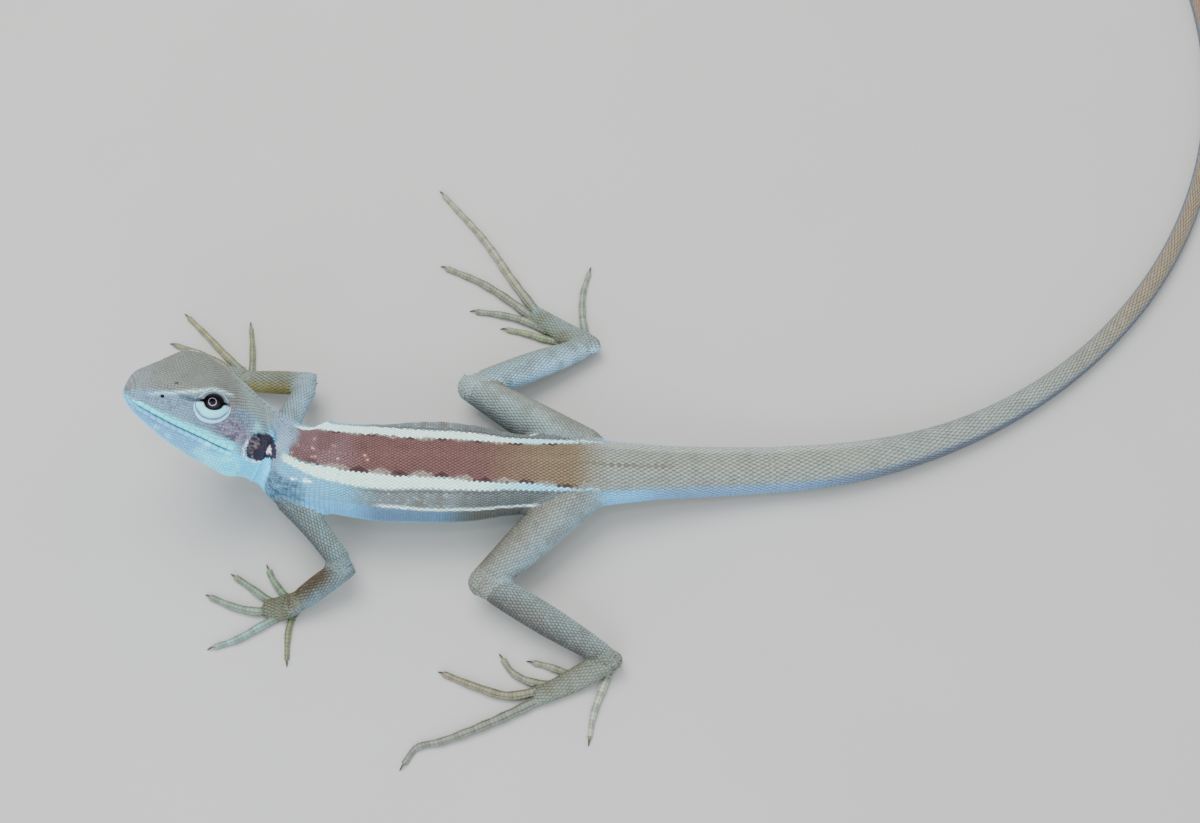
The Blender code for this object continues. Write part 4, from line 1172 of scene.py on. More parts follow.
def limbTone(name, s, t, place):
    # the form's three tones across its upper side, own colour with painted light and shade in them,
    # blotched, with bars over the digits
    fine, broad = softNoise(place, 0.6, 61), softNoise(place, 2.2, 62)
    under = smoothStep((1.3 - np.abs(t - 4)) / 0.9)
    form = forms[name]
    # own: the limb's three tones, its colours with painted light and shade in them
    own = limbTonesAndShade[name.split("_digit")[0]]
    side = signedSide(t)
    colour = np.stack([np.interp(side, (-1.5, 0.1, 1.5), channel)
                       for channel in zip(*map(ownTone, own))], axis=-1)
    if "hand" in name or "foot" in name:
        colour = paint(colour, (134, 128, 102), 0.4 * rising(broad, 0.45, 0.3))
        if "digit" in name:
            along = s / form["end"]
            bars = smoothStep((np.sin(s * 2 * math.pi / 3.1) - 0.1) / 0.5)
            limb, number = name.split("_digit_")
            colour = paint(colour, digitTones[limb][int(number) - 1], 0.85 * smoothStep(along / 0.35))
            colour = paint(colour, (124, 122, 108), 0.3 * bars * rising(along, 0.1, 0.3))
    else:
        colour = paint(colour, (130, 128, 116), 0.3 * rising(broad, 0.45, 0.3))
        colour = paint(colour, (174, 186, 188), 0.15 * rising(fine, 0.6, 0.2))
        if "thigh" in name:
            net = smoothStep((0.1 - np.abs(softNoise(place, 0.9, 63) - 0.5)) / 0.07)
            colour = paint(colour, (112, 116, 112), 0.12 * net)
        if "forearm" in name or "shank" in name:
            above = limbTonesAndShade[name.replace("forearm", "upper_arm").replace("shank", "thigh")]
            colour = paint(colour, above[1], 0.9 * falling(s, 7, 5))
        else:
            colour = paint(colour, own[1], 0.8 * smoothStep((s - form["end"] + 7) / 5))
    return paint(colour, (196, 202, 192), 0.6 * under)


def toneOf(name, s, t, place):
    # markings as linear colour
    s, t = np.broadcast_arrays(s, t)
    if name == "trunk":
        side = signedSide(t)
        edge = 0.8 * (softNoise(place, 1.2, 71) - 0.5)
        neck = smoothStep((s - headEnd - 0.5 + 2 * edge) / 2.5)
        low = smoothStep((np.abs(side) - 0.8) / 0.25)
        trunkStart = smoothStep((s + 9.6 - 4.8 * low - 6.0 * np.minimum(side, 0) + 2 * edge) / 3.0)
        colour = headTone(s, side, place)
        colour = paint(colour, neckTone(s, side, place), neck)
        colour = earTone(colour, s, side, place)
        colour = paint(colour, bodyTone(s, side, place), trunkStart)
        for dotS, dotT in backLines["shoulderSpots"]:
            spot = bell(np.hypot(s - dotS, (side - dotT) * 7.5), 0.42)
            colour = paint(colour, (226, 236, 240), smoothStep(spot * 2.2 - 0.3))
    else:
        colour = limbTone(name, s, t, place)
    return linear(colour)


def onLids(hand, across, over, lift):
    # the skin over the eye, met by rays that come straight in onto the lids
    across, over = np.broadcast_arrays(across, over)
    above = 12.0
    local = np.stack((across, over, np.full(across.shape, above)), axis=-1)
    start = eyeMiddle[hand] + local.reshape(-1, 3) @ lidAxes[hand]
    inwards = Vector(-lidAxes[hand][2])
    hits = [skinTree.ray_cast(Vector(p), inwards)[3] for p in start]
    gone = np.array([above if hit is None else hit for hit in hits]).reshape(across.shape)
    local = np.stack((across, over, above - gone + lift), axis=-1)
    return eyeMiddle[hand] + local @ lidAxes[hand], unit(local) @ lidAxes[hand]


def lidTone(v, across, over):
    # lids: a bright crescent below the eye, a thin dark fold, a pale ring, dark edges
    lower, upper = smoothStep(-over / 0.8), smoothStep(over / 0.8)
    colour = paintAll(
        flood(v.shape, (150, 164, 173)),
        ((176, 205, 217), lower * falling(v, 0.97, 0.06)),
        ((187, 215, 223), lower * window(v, 0.1, 0.55, 0.12)),
        ((88, 103, 123), 0.85 * lower * bell(v - 0.66, 0.035)),
        ((202, 217, 223), 0.8 * lower * bell(v - 0.84, 0.07)),
        ((128, 138, 148), 0.8 * upper * falling(v, 0.6, 0.2)),
        ((190, 204, 210), 0.7 * upper * bell(v - 0.72, 0.12)),
        ((84, 88, 100), 0.6 * upper * bell(v - 0.36, 0.04)),
    )
    front = smoothStep((-across - 2.0) / 0.6) * smoothStep((0.42 - np.abs(over)) / 0.2)
    rear = rising(across, 2.3, 0.5) * smoothStep((0.4 - np.abs(over)) / 0.2)
    colour = paint(colour, (56, 58, 70), 0.9 * front)
    colour = paint(colour, (132, 92, 98), 0.8 * rear)
    dark = smoothStep((np.where(over > 0, 0.17, 0.10) - v) / 0.05)
    return paint(colour, (34, 34, 42), 0.95 * dark)


# scales
scaleRows = {
    # width of a scale and step between rows, on the trunk by the distance along it
    "trunk": ((-47.0, 0.50, 0.48), (-40.0, 0.58, 0.54), (-24.0, 0.60, 0.55), (-16.0, 0.54, 0.50),
              (-4.0, 0.56, 0.50), (8.0, 0.60, 0.54), (40.0, 0.62, 0.56), (58.0, 0.78, 0.72),
              (80.0, 0.86, 0.82), (140.0, 0.78, 0.86), (200.0, 0.66, 0.86), (280.0, 0.52, 0.80),
              (344.0, 0.40, 0.70)),
    "limb": (0.72, 0.66),
    "pad": (0.74, 0.72),
    "digitStep": 0.82,
}


def skinFrames(form, s, t):
    # place on the skin, outward direction and direction along
    _, out, along = framesOn(form, s, t)
    return skinPlace(form, s, t), out, along


def nearestSkin(places):
    # the place of the skin nearest to each one, and the way out of it
    found = [skinTree.find_nearest(p) for p in places]
    return (np.array([f[n] for f in found]) for n in (0, 1))


def rowPlaces(form, table):
    # rows at the table's steps; in each, places evenly spread by arc length, every other
    # row turned by half a step
    sAll, tAll, widths, steps = [], [], [], []
    s, row = form["start"] + 0.25, 0
    fineT = np.linspace(0, 8, 97)
    while s < form["end"] - 0.1:
        width, step = profile(table, s)[0] if len(table) > 2 else table
        ring = onForm(form, s, fineT)
        arc = np.concatenate(([0], np.cumsum(np.linalg.norm(np.diff(ring, axis=0), axis=1))))
        count = max(4, 2 * round(arc[-1] / (2 * width)))
        spots = (np.arange(count) + 0.5 * (row % 2)) / count * arc[-1]
        sAll.append(np.full(count, s) + chance.normal(0, 0.05 * step, count))
        tAll.append(np.interp(spots, arc, fineT) % 8)
        widths.append(np.full(count, arc[-1] / count))
        steps.append(np.full(count, step))
        s, row = s + step, row + 1
    return tuple(np.concatenate(v) for v in (sAll, tAll, widths, steps))


def snapToSkin(place, out, deepest, softNormals):
    # nearest place on the skin; scales that lie deeper than allowed under it are dropped
    near, normal = nearestSkin(place)
    depth = dot(near - place, normal)
    moved = np.linalg.norm(near - place, axis=1)
    weight = np.maximum(smoothStep(moved / 0.12), 1.0 - softNormals)[:, None]
    return near, unit(out * (1 - weight) + normal * weight), depth < deepest


def field(name, s, t, place, out, along, **sizes):
    # one set of scales; each size is a number for all of them or one for each
    count = len(s)
    values = {"length": 0.8, "width": 0.35, "bend": 40.0, "lift": 0.08, "dome": 0.04,
              "keel": 0.0, "front": 0.28, "rear": 0.66, "frontWide": 0.85, "rearWide": 0.9}
    values.update(sizes)
    values = {key: np.broadcast_to(np.asarray(v, float), (count,)) for key, v in values.items()}
    along = unit(along - out * dot(along, out)[:, None])
    values.update(place=place, out=out, along=along, across=np.cross(along, out),
                  tone=toneOf(name, s, t, place), root=chartPlace(name, s, t),
                  luck=chance.random(count))
    return values


def keepOnly(values, mask):
    # the scales that the mask picks
    return {key: v[mask] for key, v in values.items()}


def trunkScales():
    # rows over head, body and tail: small and domed round the neck, flatter under the belly
    s, t, width, step = rowPlaces(body, scaleRows["trunk"])
    place, out, along = skinFrames(body, s, t)
    # rows spread out on the outer side of a bend, so scales there are longer
    spread = np.linalg.norm(onForm(body, s + 0.3, t) - onForm(body, s - 0.3, t), axis=1) / 0.6
    step = step * np.clip(spread, 0.6, 1.9)
    inHead = 1 - smoothStep((s - headEnd - 8) / 3)
    near, out, keep = snapToSkin(place, out, 0.7, 1 - inHead)
    back, left, up = np.moveaxis(headLocal(near), -1, 0)
    a = np.abs(signedSide(t))
    jaw = s < headEnd
    # lips, lids, nostrils and ear drums are left bare: they have pieces of their own
    keep &= ~(jaw & (a > 1.865) & (a < 2.19) & (back < head["mouthCorner"] + 0.6))
    for hand in sideName:
        away = (near - eyeMiddle[hand]) @ lidAxes[hand].T
        ring = np.hypot(away[:, 0] / eye["ring"][0], (away[:, 1] + eye["drop"]) / eye["ring"][1])
        keep &= ~((ring < 1.0) & (away[:, 2] > 0))
        keep &= np.linalg.norm(near - onHead(head["nostril"], hand), axis=1) > 0.85
    keep &= ~((np.abs(left) > 4) & (s < headEnd + 6) & (fromEar(back, up) < 1.12))
    grain = np.clip(smoothStep((s - headEnd + 9) / 3) * falling(s, 4, 6)
                    + bell(a - 1.6, 0.35) * bell(back - 20, 5) * jaw, 0, 1)
    tail = rising(s, 52, 12)
    belly = rising(a, 2.2, 0.6) * (s > headEnd)
    throat = rising(a, 2.3, 0.3) * jaw
    size = 1 + 0.10 * (softNoise(near, 3.0, 81) - 0.5)
    keel = (0.04 + 0.05 * tail) * (1 - grain) * (1 - 0.8 * belly) * (1 - throat)
    keel *= 1 - 0.5 * jaw - 0.35 * tail
    values = field("trunk", s, t, near, out, along,
                   length=step * (1.66 - 0.42 * grain + 0.1 * tail - 0.1 * jaw) * size,
                   width=width * (0.57 - 0.03 * grain) * size,
                   bend=np.where(s > 100, 2.6, 30.0), lift=0.075 - 0.04 * grain - 0.035 * jaw,
                   dome=0.035 + 0.06 * grain + 0.005 * jaw, keel=keel,
                   front=0.28 - 0.06 * grain, rear=0.66 + 0.10 * grain,
                   frontWide=0.86, rearWide=0.86 + 0.04 * grain)
    return keepOnly(values, keep)


def tubeScales(name, table, deepest, **sizes):
    # rows over a limb's length or a pad, keeled above and smooth below
    form = forms[name]
    s, t, width, step = rowPlaces(form, table)
    place, out, along = skinFrames(form, s, t)
    near, out, keep = snapToSkin(place, out, deepest, np.ones(len(s)))
    under = smoothStep((1.6 - np.abs(t - 4)) / 0.6)
    size = 1 + 0.12 * (softNoise(near, 2.2, 82) - 0.5)
    shape = {"length": step * 1.55 * size, "width": width * 0.56 * size, "bend": 3.0,
             "lift": 0.08, "dome": 0.04, "keel": 0.055 * (1 - under)}
    shape.update(sizes)
    return keepOnly(field(name, s, t, near, out, along, **shape), keep)


def digitScutes(name):
    # four rows of bands along a digit, bent round it
    form = forms[name]
    step = scaleRows["digitStep"]
    rows = np.arange(form["start"] + 0.5, form["end"] - 0.25, step)
    s, t = (v.ravel() for v in np.meshgrid(rows, (0.0, 2.0, 4.0, 6.0), indexing="ij"))
    place, out, along = skinFrames(form, s, t)
    _, _, keep = snapToSkin(place, out, 0.22, np.ones(len(s)))
    radius = girthOf(form, s) / (2 * math.pi)
    keep &= radius > 0.25
    shape = {"length": step * 1.38, "width": radius * 0.86, "bend": radius, "lift": 0.11,
             "dome": 0.02, "keel": np.where(t == 0, 0.03, 0.0), "front": 0.12, "rear": 0.80,
             "frontWide": 0.95, "rearWide": 0.95}
    return keepOnly(field(name, s, t, place, out, along, **shape), keep)


def lipPlates():
    # plates above and below the line of the mouth, each row a set way from it along the skin
    parts = []
    for way, high, length in ((-0.66, 0.60, 1.30), (0.60, 0.56, 1.38)):
        back = np.arange(0.7, head["mouthCorner"] + 0.6, length * 0.97)
        s = snoutTip + head["size"] * back
        for sign in (1, -1):
            line = np.full(len(s), (2.0 * sign) % 8)
            slope = (onForm(body, s, line + 0.05 * sign * np.sign(way))
                     - onForm(body, s, line)) / 0.05
            t = line + sign * way / np.maximum(np.linalg.norm(slope, axis=1), 1.0)
            place, out, along = skinFrames(body, s, t)
            near, out, keep = snapToSkin(place, out, 0.7, np.zeros(len(s)))
            taper = 0.6 + 0.4 * smoothStep(back / 5)
            values = field("trunk", s, t, near, out, along, length=length * 1.08,
                           width=high * taper, lift=0.02, dome=0.045, front=0.1, rear=0.88,
                           frontWide=0.97, rearWide=0.97)
            parts.append(keepOnly(values, keep))
    return parts


def rimBeads():
    # small beads round the ear and along the edges of the lids
    parts = []
    ear, half = head["ear"], head["earHalf"]
    for hand in sideName:
        angle = np.arange(30) * 2 * math.pi / 30
        back = ear[0] + (half[0] + 0.3) * np.cos(angle)
        s = headEnd + (back - head["length"]) * head["size"]
        rough = headPoint(back, hand * ear[1], ear[2] + (half[1] + 0.35) * np.sin(angle))
        near, out = nearestSkin(rough)
        t = np.full(len(s), 1.9 if hand == 1 else 6.1)
        parts.append(field("trunk", s, t, near, out, near - near.mean(axis=0), length=0.75,
                           width=0.22, lift=0.03, dome=0.05, front=0.22, rear=0.72))
        across = np.linspace(-0.9, 0.9, 25) * eye["opening"][0]
        for above in (1, -1):
            over = above * (lidHeight(across) + 0.17)
            place, out = onLids(hand, across, over, 0.02)
            s = snoutTip + (eye["middle"][0] + across) * head["size"]
            t = np.full(len(s), 1.2 if hand == 1 else 6.8)
            values = field("trunk", s, t, place, out, np.tile(lidAxes[hand][0], (len(s), 1)),
                           length=0.25, width=0.09, dome=0.06, lift=0.0, front=0.2, rear=0.8)
            seen = (157, 163, 172) if above > 0 else (193, 202, 206)
            values["tone"] = linear(flood(s.shape, seen))
            parts.append(values)
    return parts


def crestSpines():
    # a low row of pointed scales down the nape
    s = np.arange(-26.0, 6.0, 0.95)
    t = np.zeros(len(s))
    place, out, along = skinFrames(body, s, t)
    near, out, _ = snapToSkin(place, out, 0.7, np.ones(len(s)))
    tall = 0.26 * bell(s + 15, 9)
    return field("trunk", s, t, near, unit(out + 0.15 * along), along, length=1.15, width=0.26,
                 lift=tall + 0.1, dome=0.05, keel=0.12 + 0.2 * tall)


def scaleMesh(name, values):
    # each scale: a root, two rows of five points over a dome with a keel, a tip, and a flat
    # underside; the whole is bent round its own line by the radius it sits on
    count = len(values["length"])
    v = np.array((0, -1, -0.5, 0, 0.5, 1, -1, -0.5, 0, 0.5, 1, 0.0))
    row = np.array((0, 1, 1, 1, 1, 1, 2, 2, 2, 2, 2, 3))
    front, rear = values["front"][:, None], values["rear"][:, None]
    along = np.choose(row, (0 * front, front, rear, 0 * front + 1))
    wide = np.choose(row, (0 * front, values["frontWide"][:, None], values["rearWide"][:, None],
                           0 * front))
    x = v * wide * values["width"][:, None]
    y = (along - 0.42) * values["length"][:, None]
    arch = (1 - v**2) * (row % 3 > 0)
    ridge = np.clip(1 - 2 * np.abs(v), 0, 1) * np.array((0, 0.8, 1, 0.7))[row]
    z = (values["lift"][:, None] * along + values["dome"][:, None] * arch
         + values["keel"][:, None] * ridge - 0.04 * (np.abs(v) == 1) - 0.06 * (row == 0))
    bend = values["bend"][:, None]
    angle = np.clip(x / bend, -1.4, 1.4)
    reach = (bend + z) * np.sin(angle)
    height = (bend + z) * np.cos(angle) - bend
    place = (values["place"][:, None] + reach[..., None] * values["across"][:, None]
             + y[..., None] * values["along"][:, None]
             + height[..., None] * values["out"][:, None])
    place[..., 2] = np.maximum(place[..., 2], coat["scalesLowest"])
    faces = [(0, 2, 1), (0, 3, 2), (0, 4, 3), (0, 5, 4), (1, 2, 7, 6), (2, 3, 8, 7),
             (3, 4, 9, 8), (4, 5, 10, 9), (6, 7, 11), (7, 8, 11), (8, 9, 11), (9, 10, 11),
             (0, 1, 6, 11, 10, 5)]
    corners = np.concatenate([np.array(face) for face in faces])
    totals = np.array([len(face) for face in faces])
    loops = (corners[None, :] + 12 * np.arange(count)[:, None]).ravel()
    starts = np.concatenate(([0], np.cumsum(np.tile(totals, count))[:-1]))
    mesh = bpy.data.meshes.new(name)
    mesh.vertices.add(count * 12)
    mesh.vertices.foreach_set("co", (place * mm).astype(np.float32).ravel())
    mesh.loops.add(len(loops))
    mesh.loops.foreach_set("vertex_index", loops.astype(np.int32))
    mesh.polygons.add(len(starts))
    mesh.polygons.foreach_set("loop_start", starts.astype(np.int32))
    mesh.polygons.foreach_set("use_smooth", np.ones(len(starts), bool))
    spot = values["root"][:, None] + 0.0015 * np.stack((2 * along - 1, wide * v), axis=-1)
    layer = mesh.uv_layers.new(name="OFBake")
    layer.data.foreach_set("uv", spot.reshape(-1, 2)[loops].astype(np.float32).ravel())
    mesh.update(calc_edges=True)
    tone = np.repeat(np.column_stack((values["tone"], np.ones(count))), 12, axis=0)
    addTone(mesh, "POINT", tone)
    # how high a point stands on its scale's dome and ridge; the material paints a highlight where it is
    # high and shade at the root and edges
    high = np.clip(0.25 + 0.5 * ridge + 0.25 * arch - 0.35 * (row == 0), 0, 1)
    addNumber(mesh, "high", np.broadcast_to(high, (count, 12)))
    addNumber(mesh, "luck", np.repeat(values["luck"], 12))
    return mesh


def addTone(mesh, domain, tone):
    # one colour for each point or corner, which the materials read
    layer = mesh.attributes.new("tone", "FLOAT_COLOR", domain)
    layer.data.foreach_set("color", tone.astype(np.float32).ravel())


def addNumber(mesh, name, numbers):
    # one number for each point
    layer = mesh.attributes.new(name, "FLOAT", "POINT")
    layer.data.foreach_set("value", np.asarray(numbers, np.float32).ravel())


def joinFields(parts):
    # several sets of scales as one
    return {key: np.concatenate([part[key] for part in parts]) for key in parts[0]}


def growCoat():
    # gathers the scales by region, in pieces small enough to keep whole
    trunkField = trunkScales()
    s = chartBack(trunkField["root"])
    nape, hips = coat["meet"]
    parts = {
        "head": [keepOnly(trunkField, s < nape), *lipPlates(), *rimBeads(), crestSpines()],
        "torso": [keepOnly(trunkField, (s >= nape) & (s < hips))],
        "tail": [keepOnly(trunkField, s >= hips)],
        "limb": [],
        "digit": [],
    }
    for name in forms:
        if name == "trunk":
            continue
        if "digit" in name:
            parts["digit"].append(digitScutes(name))
        elif "hand" in name or "foot" in name:
            parts["digit"].append(tubeScales(name, scaleRows["pad"], 0.45, bend=1.6))
        else:
            parts["limb"].append(tubeScales(name, scaleRows["limb"], 0.7))
    pieces = []
    for region, fields in parts.items():
        values = joinFields(fields)
        count = len(values["length"])
        chunks = math.ceil(count / coat["pieceScales"])
        for n in range(chunks):
            mask = np.zeros(count, bool)
            mask[n * count // chunks:(n + 1) * count // chunks] = True
            name = f"{region}_scales_{n + 1}" if chunks > 1 else f"{region}_scales"
            piece = newObject(name, scaleMesh(name, keepOnly(values, mask)))
            pieces.append((piece, region))
        print(region, count, "scales")
    return pieces


def chartBack(root):
    # distance along the trunk from a place on the chart
    s = np.full(len(root), 1e3)
    for strip in homes["trunk"]:
        inside, distance = onStrip(root, strip)
        s = np.where(inside, distance, s)
    return s


def toneSkin():
    # each corner of the skin gets the markings of its place on the chart
    mesh = skin.data
    count = len(mesh.loops)
    uv = np.empty(count * 2, np.float32)
    mesh.uv_layers["OFBake"].data.foreach_get("uv", uv)
    uv = uv.reshape(-1, 2).astype(float)
    vertex = np.empty(count, np.int32)
    mesh.loops.foreach_get("vertex_index", vertex)
    place = vertexArray(mesh)[vertex]
    tone = np.ones((count, 4))
    tone[:, :3] = (0.05, 0.035, 0.035)
    for name in homes:
        for strip in homes[name]:
            inside, s = onStrip(uv, strip)
            _, _, _, v, high = strip
            t = np.clip((uv[inside, 1] - v) / high * 8, 0, 7.999)
            tone[inside, :3] = toneOf(name, s[inside], t, place[inside])
    addTone(mesh, "CORNER", tone)


coatPieces = growCoat()
toneSkin()


# lids, eyes, ear drums and claws
def lidRing(hand):
    # a closed ring: from the eyeball up over the lid's edge, across the lids with their folds,
    # down into the skin round them, and back underneath
    turn = np.linspace(0, 2 * math.pi, 128, endpoint=False)[:, None]
    v = np.concatenate(((0, 0, 0.01), np.linspace(0.03, 1, 44), (0.9, 0.5, 0.1)))
    wall = np.concatenate(((0, 0.5, 0.85), np.ones(44), (0.25, 0.2, 0.0)))
    rimX, rimY = lidEdge(turn)
    across = rimX + (eye["ring"][0] * np.cos(turn) - rimX) * v
    over = rimY + (eye["ring"][1] * np.sin(turn) - eye["drop"] - rimY) * v
    lower, upper = smoothStep(-over / 0.8), smoothStep(over / 0.8)
    relief = 0.05 + 0.07 * bell(v - 0.09, 0.07) - 0.5 * rising(v, 0.9, 0.1)
    relief = relief + lower * (0.05 * bell(v - 0.35, 0.2) - 0.16 * bell(v - 0.66, 0.05)
                               + 0.10 * bell(v - 0.84, 0.09))
    relief = relief + upper * (0.12 * bell(v - 0.7, 0.16) - 0.10 * bell(v - 0.36, 0.05))
    place, _ = onLids(hand, across, over, relief)
    high = (place - eyeMiddle[hand]) @ lidAxes[hand][2]
    ball = np.sqrt(np.maximum((eye["radius"] - 0.12)**2 - across**2 - over**2, 0.3))
    high = ball + (high - ball) * wall
    place = eyeMiddle[hand] + np.stack((across, over, high), axis=-1) @ lidAxes[hand]
    rows, around = v.size, turn.size
    i, j = (n.ravel() for n in np.meshgrid(np.arange(around), np.arange(rows), indexing="ij"))
    k, m = (i + 1) % around, (j + 1) % rows
    faces = np.stack((i * rows + j, k * rows + j, k * rows + m, i * rows + m), axis=1)
    s = snoutTip + (eye["middle"][0] + across) * head["size"]
    t = 1.3 - 0.1 * over
    uv = chartPlace("trunk", s, t if hand == 1 else 8 - t).reshape(-1, 2)[faces.ravel()]
    name = f"{sideName[hand]}_lids"
    thing = newObject(name, makeMesh(name, place.reshape(-1, 3), faces.tolist(), uv))
    turnOutwards([thing])
    tone = linear(lidTone(np.broadcast_to(v, across.shape), across, over)).reshape(-1, 3)
    addTone(thing.data, "POINT", np.column_stack((tone, np.ones(len(tone)))))
    return thing


def eyeball(hand):
    # a sphere round the gaze, swollen a little at the cornea
    gaze = eyeAxes(hand, eye["gazeTurn"], eye["gazeLift"])
    tilt = np.concatenate((np.linspace(0.02, 0.6, 26), np.linspace(0.64, math.pi - 0.02, 40)))
    around = np.linspace(0, 2 * math.pi, 64, endpoint=False)
    radius = eye["radius"] + 0.02 + 0.05 * bell(tilt, 0.42)
    rings = eyeMiddle[hand] + ballRings(tilt, around, gaze) * radius[:, None, None]
    name = f"{sideName[hand]}_eyeball"
    thing = newObject(name, closedTube(name, rings))
    turnOutwards([thing])
    angle = np.concatenate((np.repeat(tilt, len(around)), (0, math.pi)))
    addNumber(thing.data, "fromGaze", angle)
    spin = np.concatenate((np.tile(around, len(tilt)), (0, 0)))
    addNumber(thing.data, "spin", spin)
    return thing


def eardrum(hand):
    # a thin lens in the ear's cup, drawn in a little at its middle, with a ridge down it
    ear, half = head["ear"], head["earHalf"]
    around = np.linspace(0, 2 * math.pi, 48, endpoint=False)
    reach = np.concatenate((np.linspace(0.03, 1, 14), np.linspace(0.97, 0.03, 8)))
    face = np.concatenate((np.ones(14), np.zeros(8)))
    back = ear[0] + (half[0] - 0.03) * reach[:, None] * np.cos(around)
    up = ear[2] + (half[1] - 0.03) * reach[:, None] * np.sin(around)
    rough = headPoint(back, hand * (ear[1] - 1.0), up)
    middle = headPoint(ear[0], hand * ear[1], ear[2])
    near, normal, _, _ = skinTree.find_nearest(middle)
    out = np.array(normal)
    flat = rough - out * dot(rough - np.array(near), out)[..., None]
    bowl = -0.10 * (1 - reach**2)[:, None] + 0.07 * bell(np.cos(around) * reach[:, None] + 0.1, 0.16)
    depth = np.where(face[:, None] > 0, 0.10 + bowl, -0.25)
    rings = flat + out * depth[..., None]
    name = f"{sideName[hand]}_ear_drum"
    thing = newObject(name, closedTube(name, rings))
    turnOutwards([thing])
    return thing


def clawSet(name):
    # tapering hooks: their middle line drops and curves in, and their section is narrow
    meshes = []
    upright = np.array((0.0, 0.0, 1.0))
    t = np.linspace(0, 1, 12)
    around = np.linspace(0, 2 * math.pi, 10, endpoint=False)
    for n in range(1, 6):
        tip, turn = forms[f"{name}_digit_{n}"]["tip"]
        ahead = np.array((math.cos(turn), math.sin(turn), 0.0))
        sideways = np.array((-ahead[1], ahead[0], 0.0))
        reach = feet["clawLength"] * (t * 1.15 - 0.15)
        rise = feet["clawRise"] * (np.sin(math.pi * t**0.8) - t**2)
        line = tip + reach[:, None] * ahead + rise[:, None] * upright
        radius = feet["clawRadius"] * np.sqrt(1 - 0.985 * t)
        ring = (line[:, None] + 0.8 * (radius[:, None] * np.cos(around))[..., None] * sideways
                + 1.1 * (radius[:, None] * np.sin(around))[..., None] * upright)
        ring[..., 2] = np.maximum(ring[..., 2], feet["clawLowest"])
        thing = newObject("claw", closedTube("claw", ring))
        addNumber(thing.data, "along", np.concatenate((np.repeat(t, len(around)), (0, 1))))
        turnOutwards([thing])
        meshes.append(thing)
    first = meshes[0]
    with bpy.context.temp_override(active_object=first, object=first, selected_objects=meshes,
                                   selected_editable_objects=meshes):
        bpy.ops.object.join()
    first.name = f"{name}_claws"
    return first


lids = [lidRing(hand) for hand in sideName]
eyeballs = [eyeball(hand) for hand in sideName]
drums = [eardrum(hand) for hand in sideName]
claws = [clawSet(f"{side}_{part}") for side in ("left", "right") for part in ("hand", "foot")]
print("eyes, ear drums and claws made")


# materials
class Wire:
    # a node's output; each operator adds the Math node that does it
    def __init__(self, sheet, socket):
        self.sheet, self.socket = sheet, socket

    def calc(self, operation, *others):
        values = dict(enumerate((self, *others)))
        return self.sheet.node("ShaderNodeMath", {"operation": operation}, values)

    def __add__(self, other):
        return self.calc("ADD", other)

    def __sub__(self, other):
        return self.calc("SUBTRACT", other)

    def __rsub__(self, other):
        return self.sheet.node("ShaderNodeMath", {"operation": "SUBTRACT"}, {0: other, 1: self})

    def __mul__(self, other):
        return self.calc("MULTIPLY", other)

    __radd__, __rmul__ = __add__, __mul__


class Sheet:
    # a material: constants go on its shader's sockets, and node() makes any other node
    def __init__(self, name, **constants):
        self.material = bpy.data.materials.new(name)
        self.material.use_nodes = True
        self.tree = self.material.node_tree
        self.shader = self.tree.nodes["Principled BSDF"]
        for socket, value in constants.items():
            self.shader.inputs[socket.replace("_", " ")].default_value = value

    def put(self, socket, value):
        # a wire is linked to the socket, anything else is its value
        if isinstance(value, Wire):
            self.tree.links.new(value.socket, socket)
        else:
            socket.default_value = value

    def node(self, kind, settings, sockets, output=0):
        # adds a node and gives the wire of one of its outputs
        node = self.tree.nodes.new(kind)
        for key, value in settings.items():
            if key == "stops":
                ramp = node.color_ramp
                for n, (place, colour) in enumerate(value):
                    stop = ramp.elements[n] if n < 2 else ramp.elements.new(place)
                    stop.position, stop.color = place, colour
            else:
                setattr(node, key, value)
        for key, value in sockets.items():
            self.put(node.inputs[key], value)
        return Wire(self, node.outputs[output])

    def feed(self, **inputs):
        # what goes into the shader, by the names of its sockets
        for socket, value in inputs.items():
            self.put(self.shader.inputs[socket.replace("_", " ")], value)

    def attribute(self, name, output="Fac"):
        # what a mesh carries under this name
        return self.node("ShaderNodeAttribute", {"attribute_name": name}, {}, output)

    def noise(self, size, detail=2.0):
        # size is that of its lumps in millimetres, on Object coordinates
        place = self.node("ShaderNodeTexCoord", {}, {}, "Object")
        return self.node("ShaderNodeTexNoise", {},
                         {"Vector": place, "Scale": 1000.0 / size, "Detail": detail})

    def spread(self, value, low, high, start=0.0, end=1.0):
        # from start to end in a smooth step, while the value goes from low to high
        return self.node("ShaderNodeMapRange", {"interpolation_type": "SMOOTHSTEP"},
                         {"Value": value, "From Min": low, "From Max": high,
                          "To Min": start, "To Max": end})

    def mix(self, factor, a, b):
        # a at 0 and b at 1
        return self.node("ShaderNodeMix", {"data_type": "RGBA"}, {0: factor, 6: a, 7: b}, 2)

    def scaled(self, colour, factor):
        # a colour times a number
        return self.node("ShaderNodeVectorMath", {"operation": "SCALE"},
                         {0: colour, "Scale": factor})

    def bump(self, height, strength, distance):
        # relief from a height of 0 to 1, its depth in millimetres
        self.feed(Normal=self.node("ShaderNodeBump", {}, {
            "Height": height, "Strength": strength, "Distance": distance * mm}))


finish = {
    # a painted highlight on a scale's ridge and painted shade at its edges and root
    "ridgePaintedHighlight": 1.12,  # how much paler a scale's ridge is than its edges
    "edgePaintedShade": 0.88,
    "luck": 0.16,  # how much single scales differ
    # painted shade on the skin that shows between scales
    "skinPaintedShade": 0.85,
}


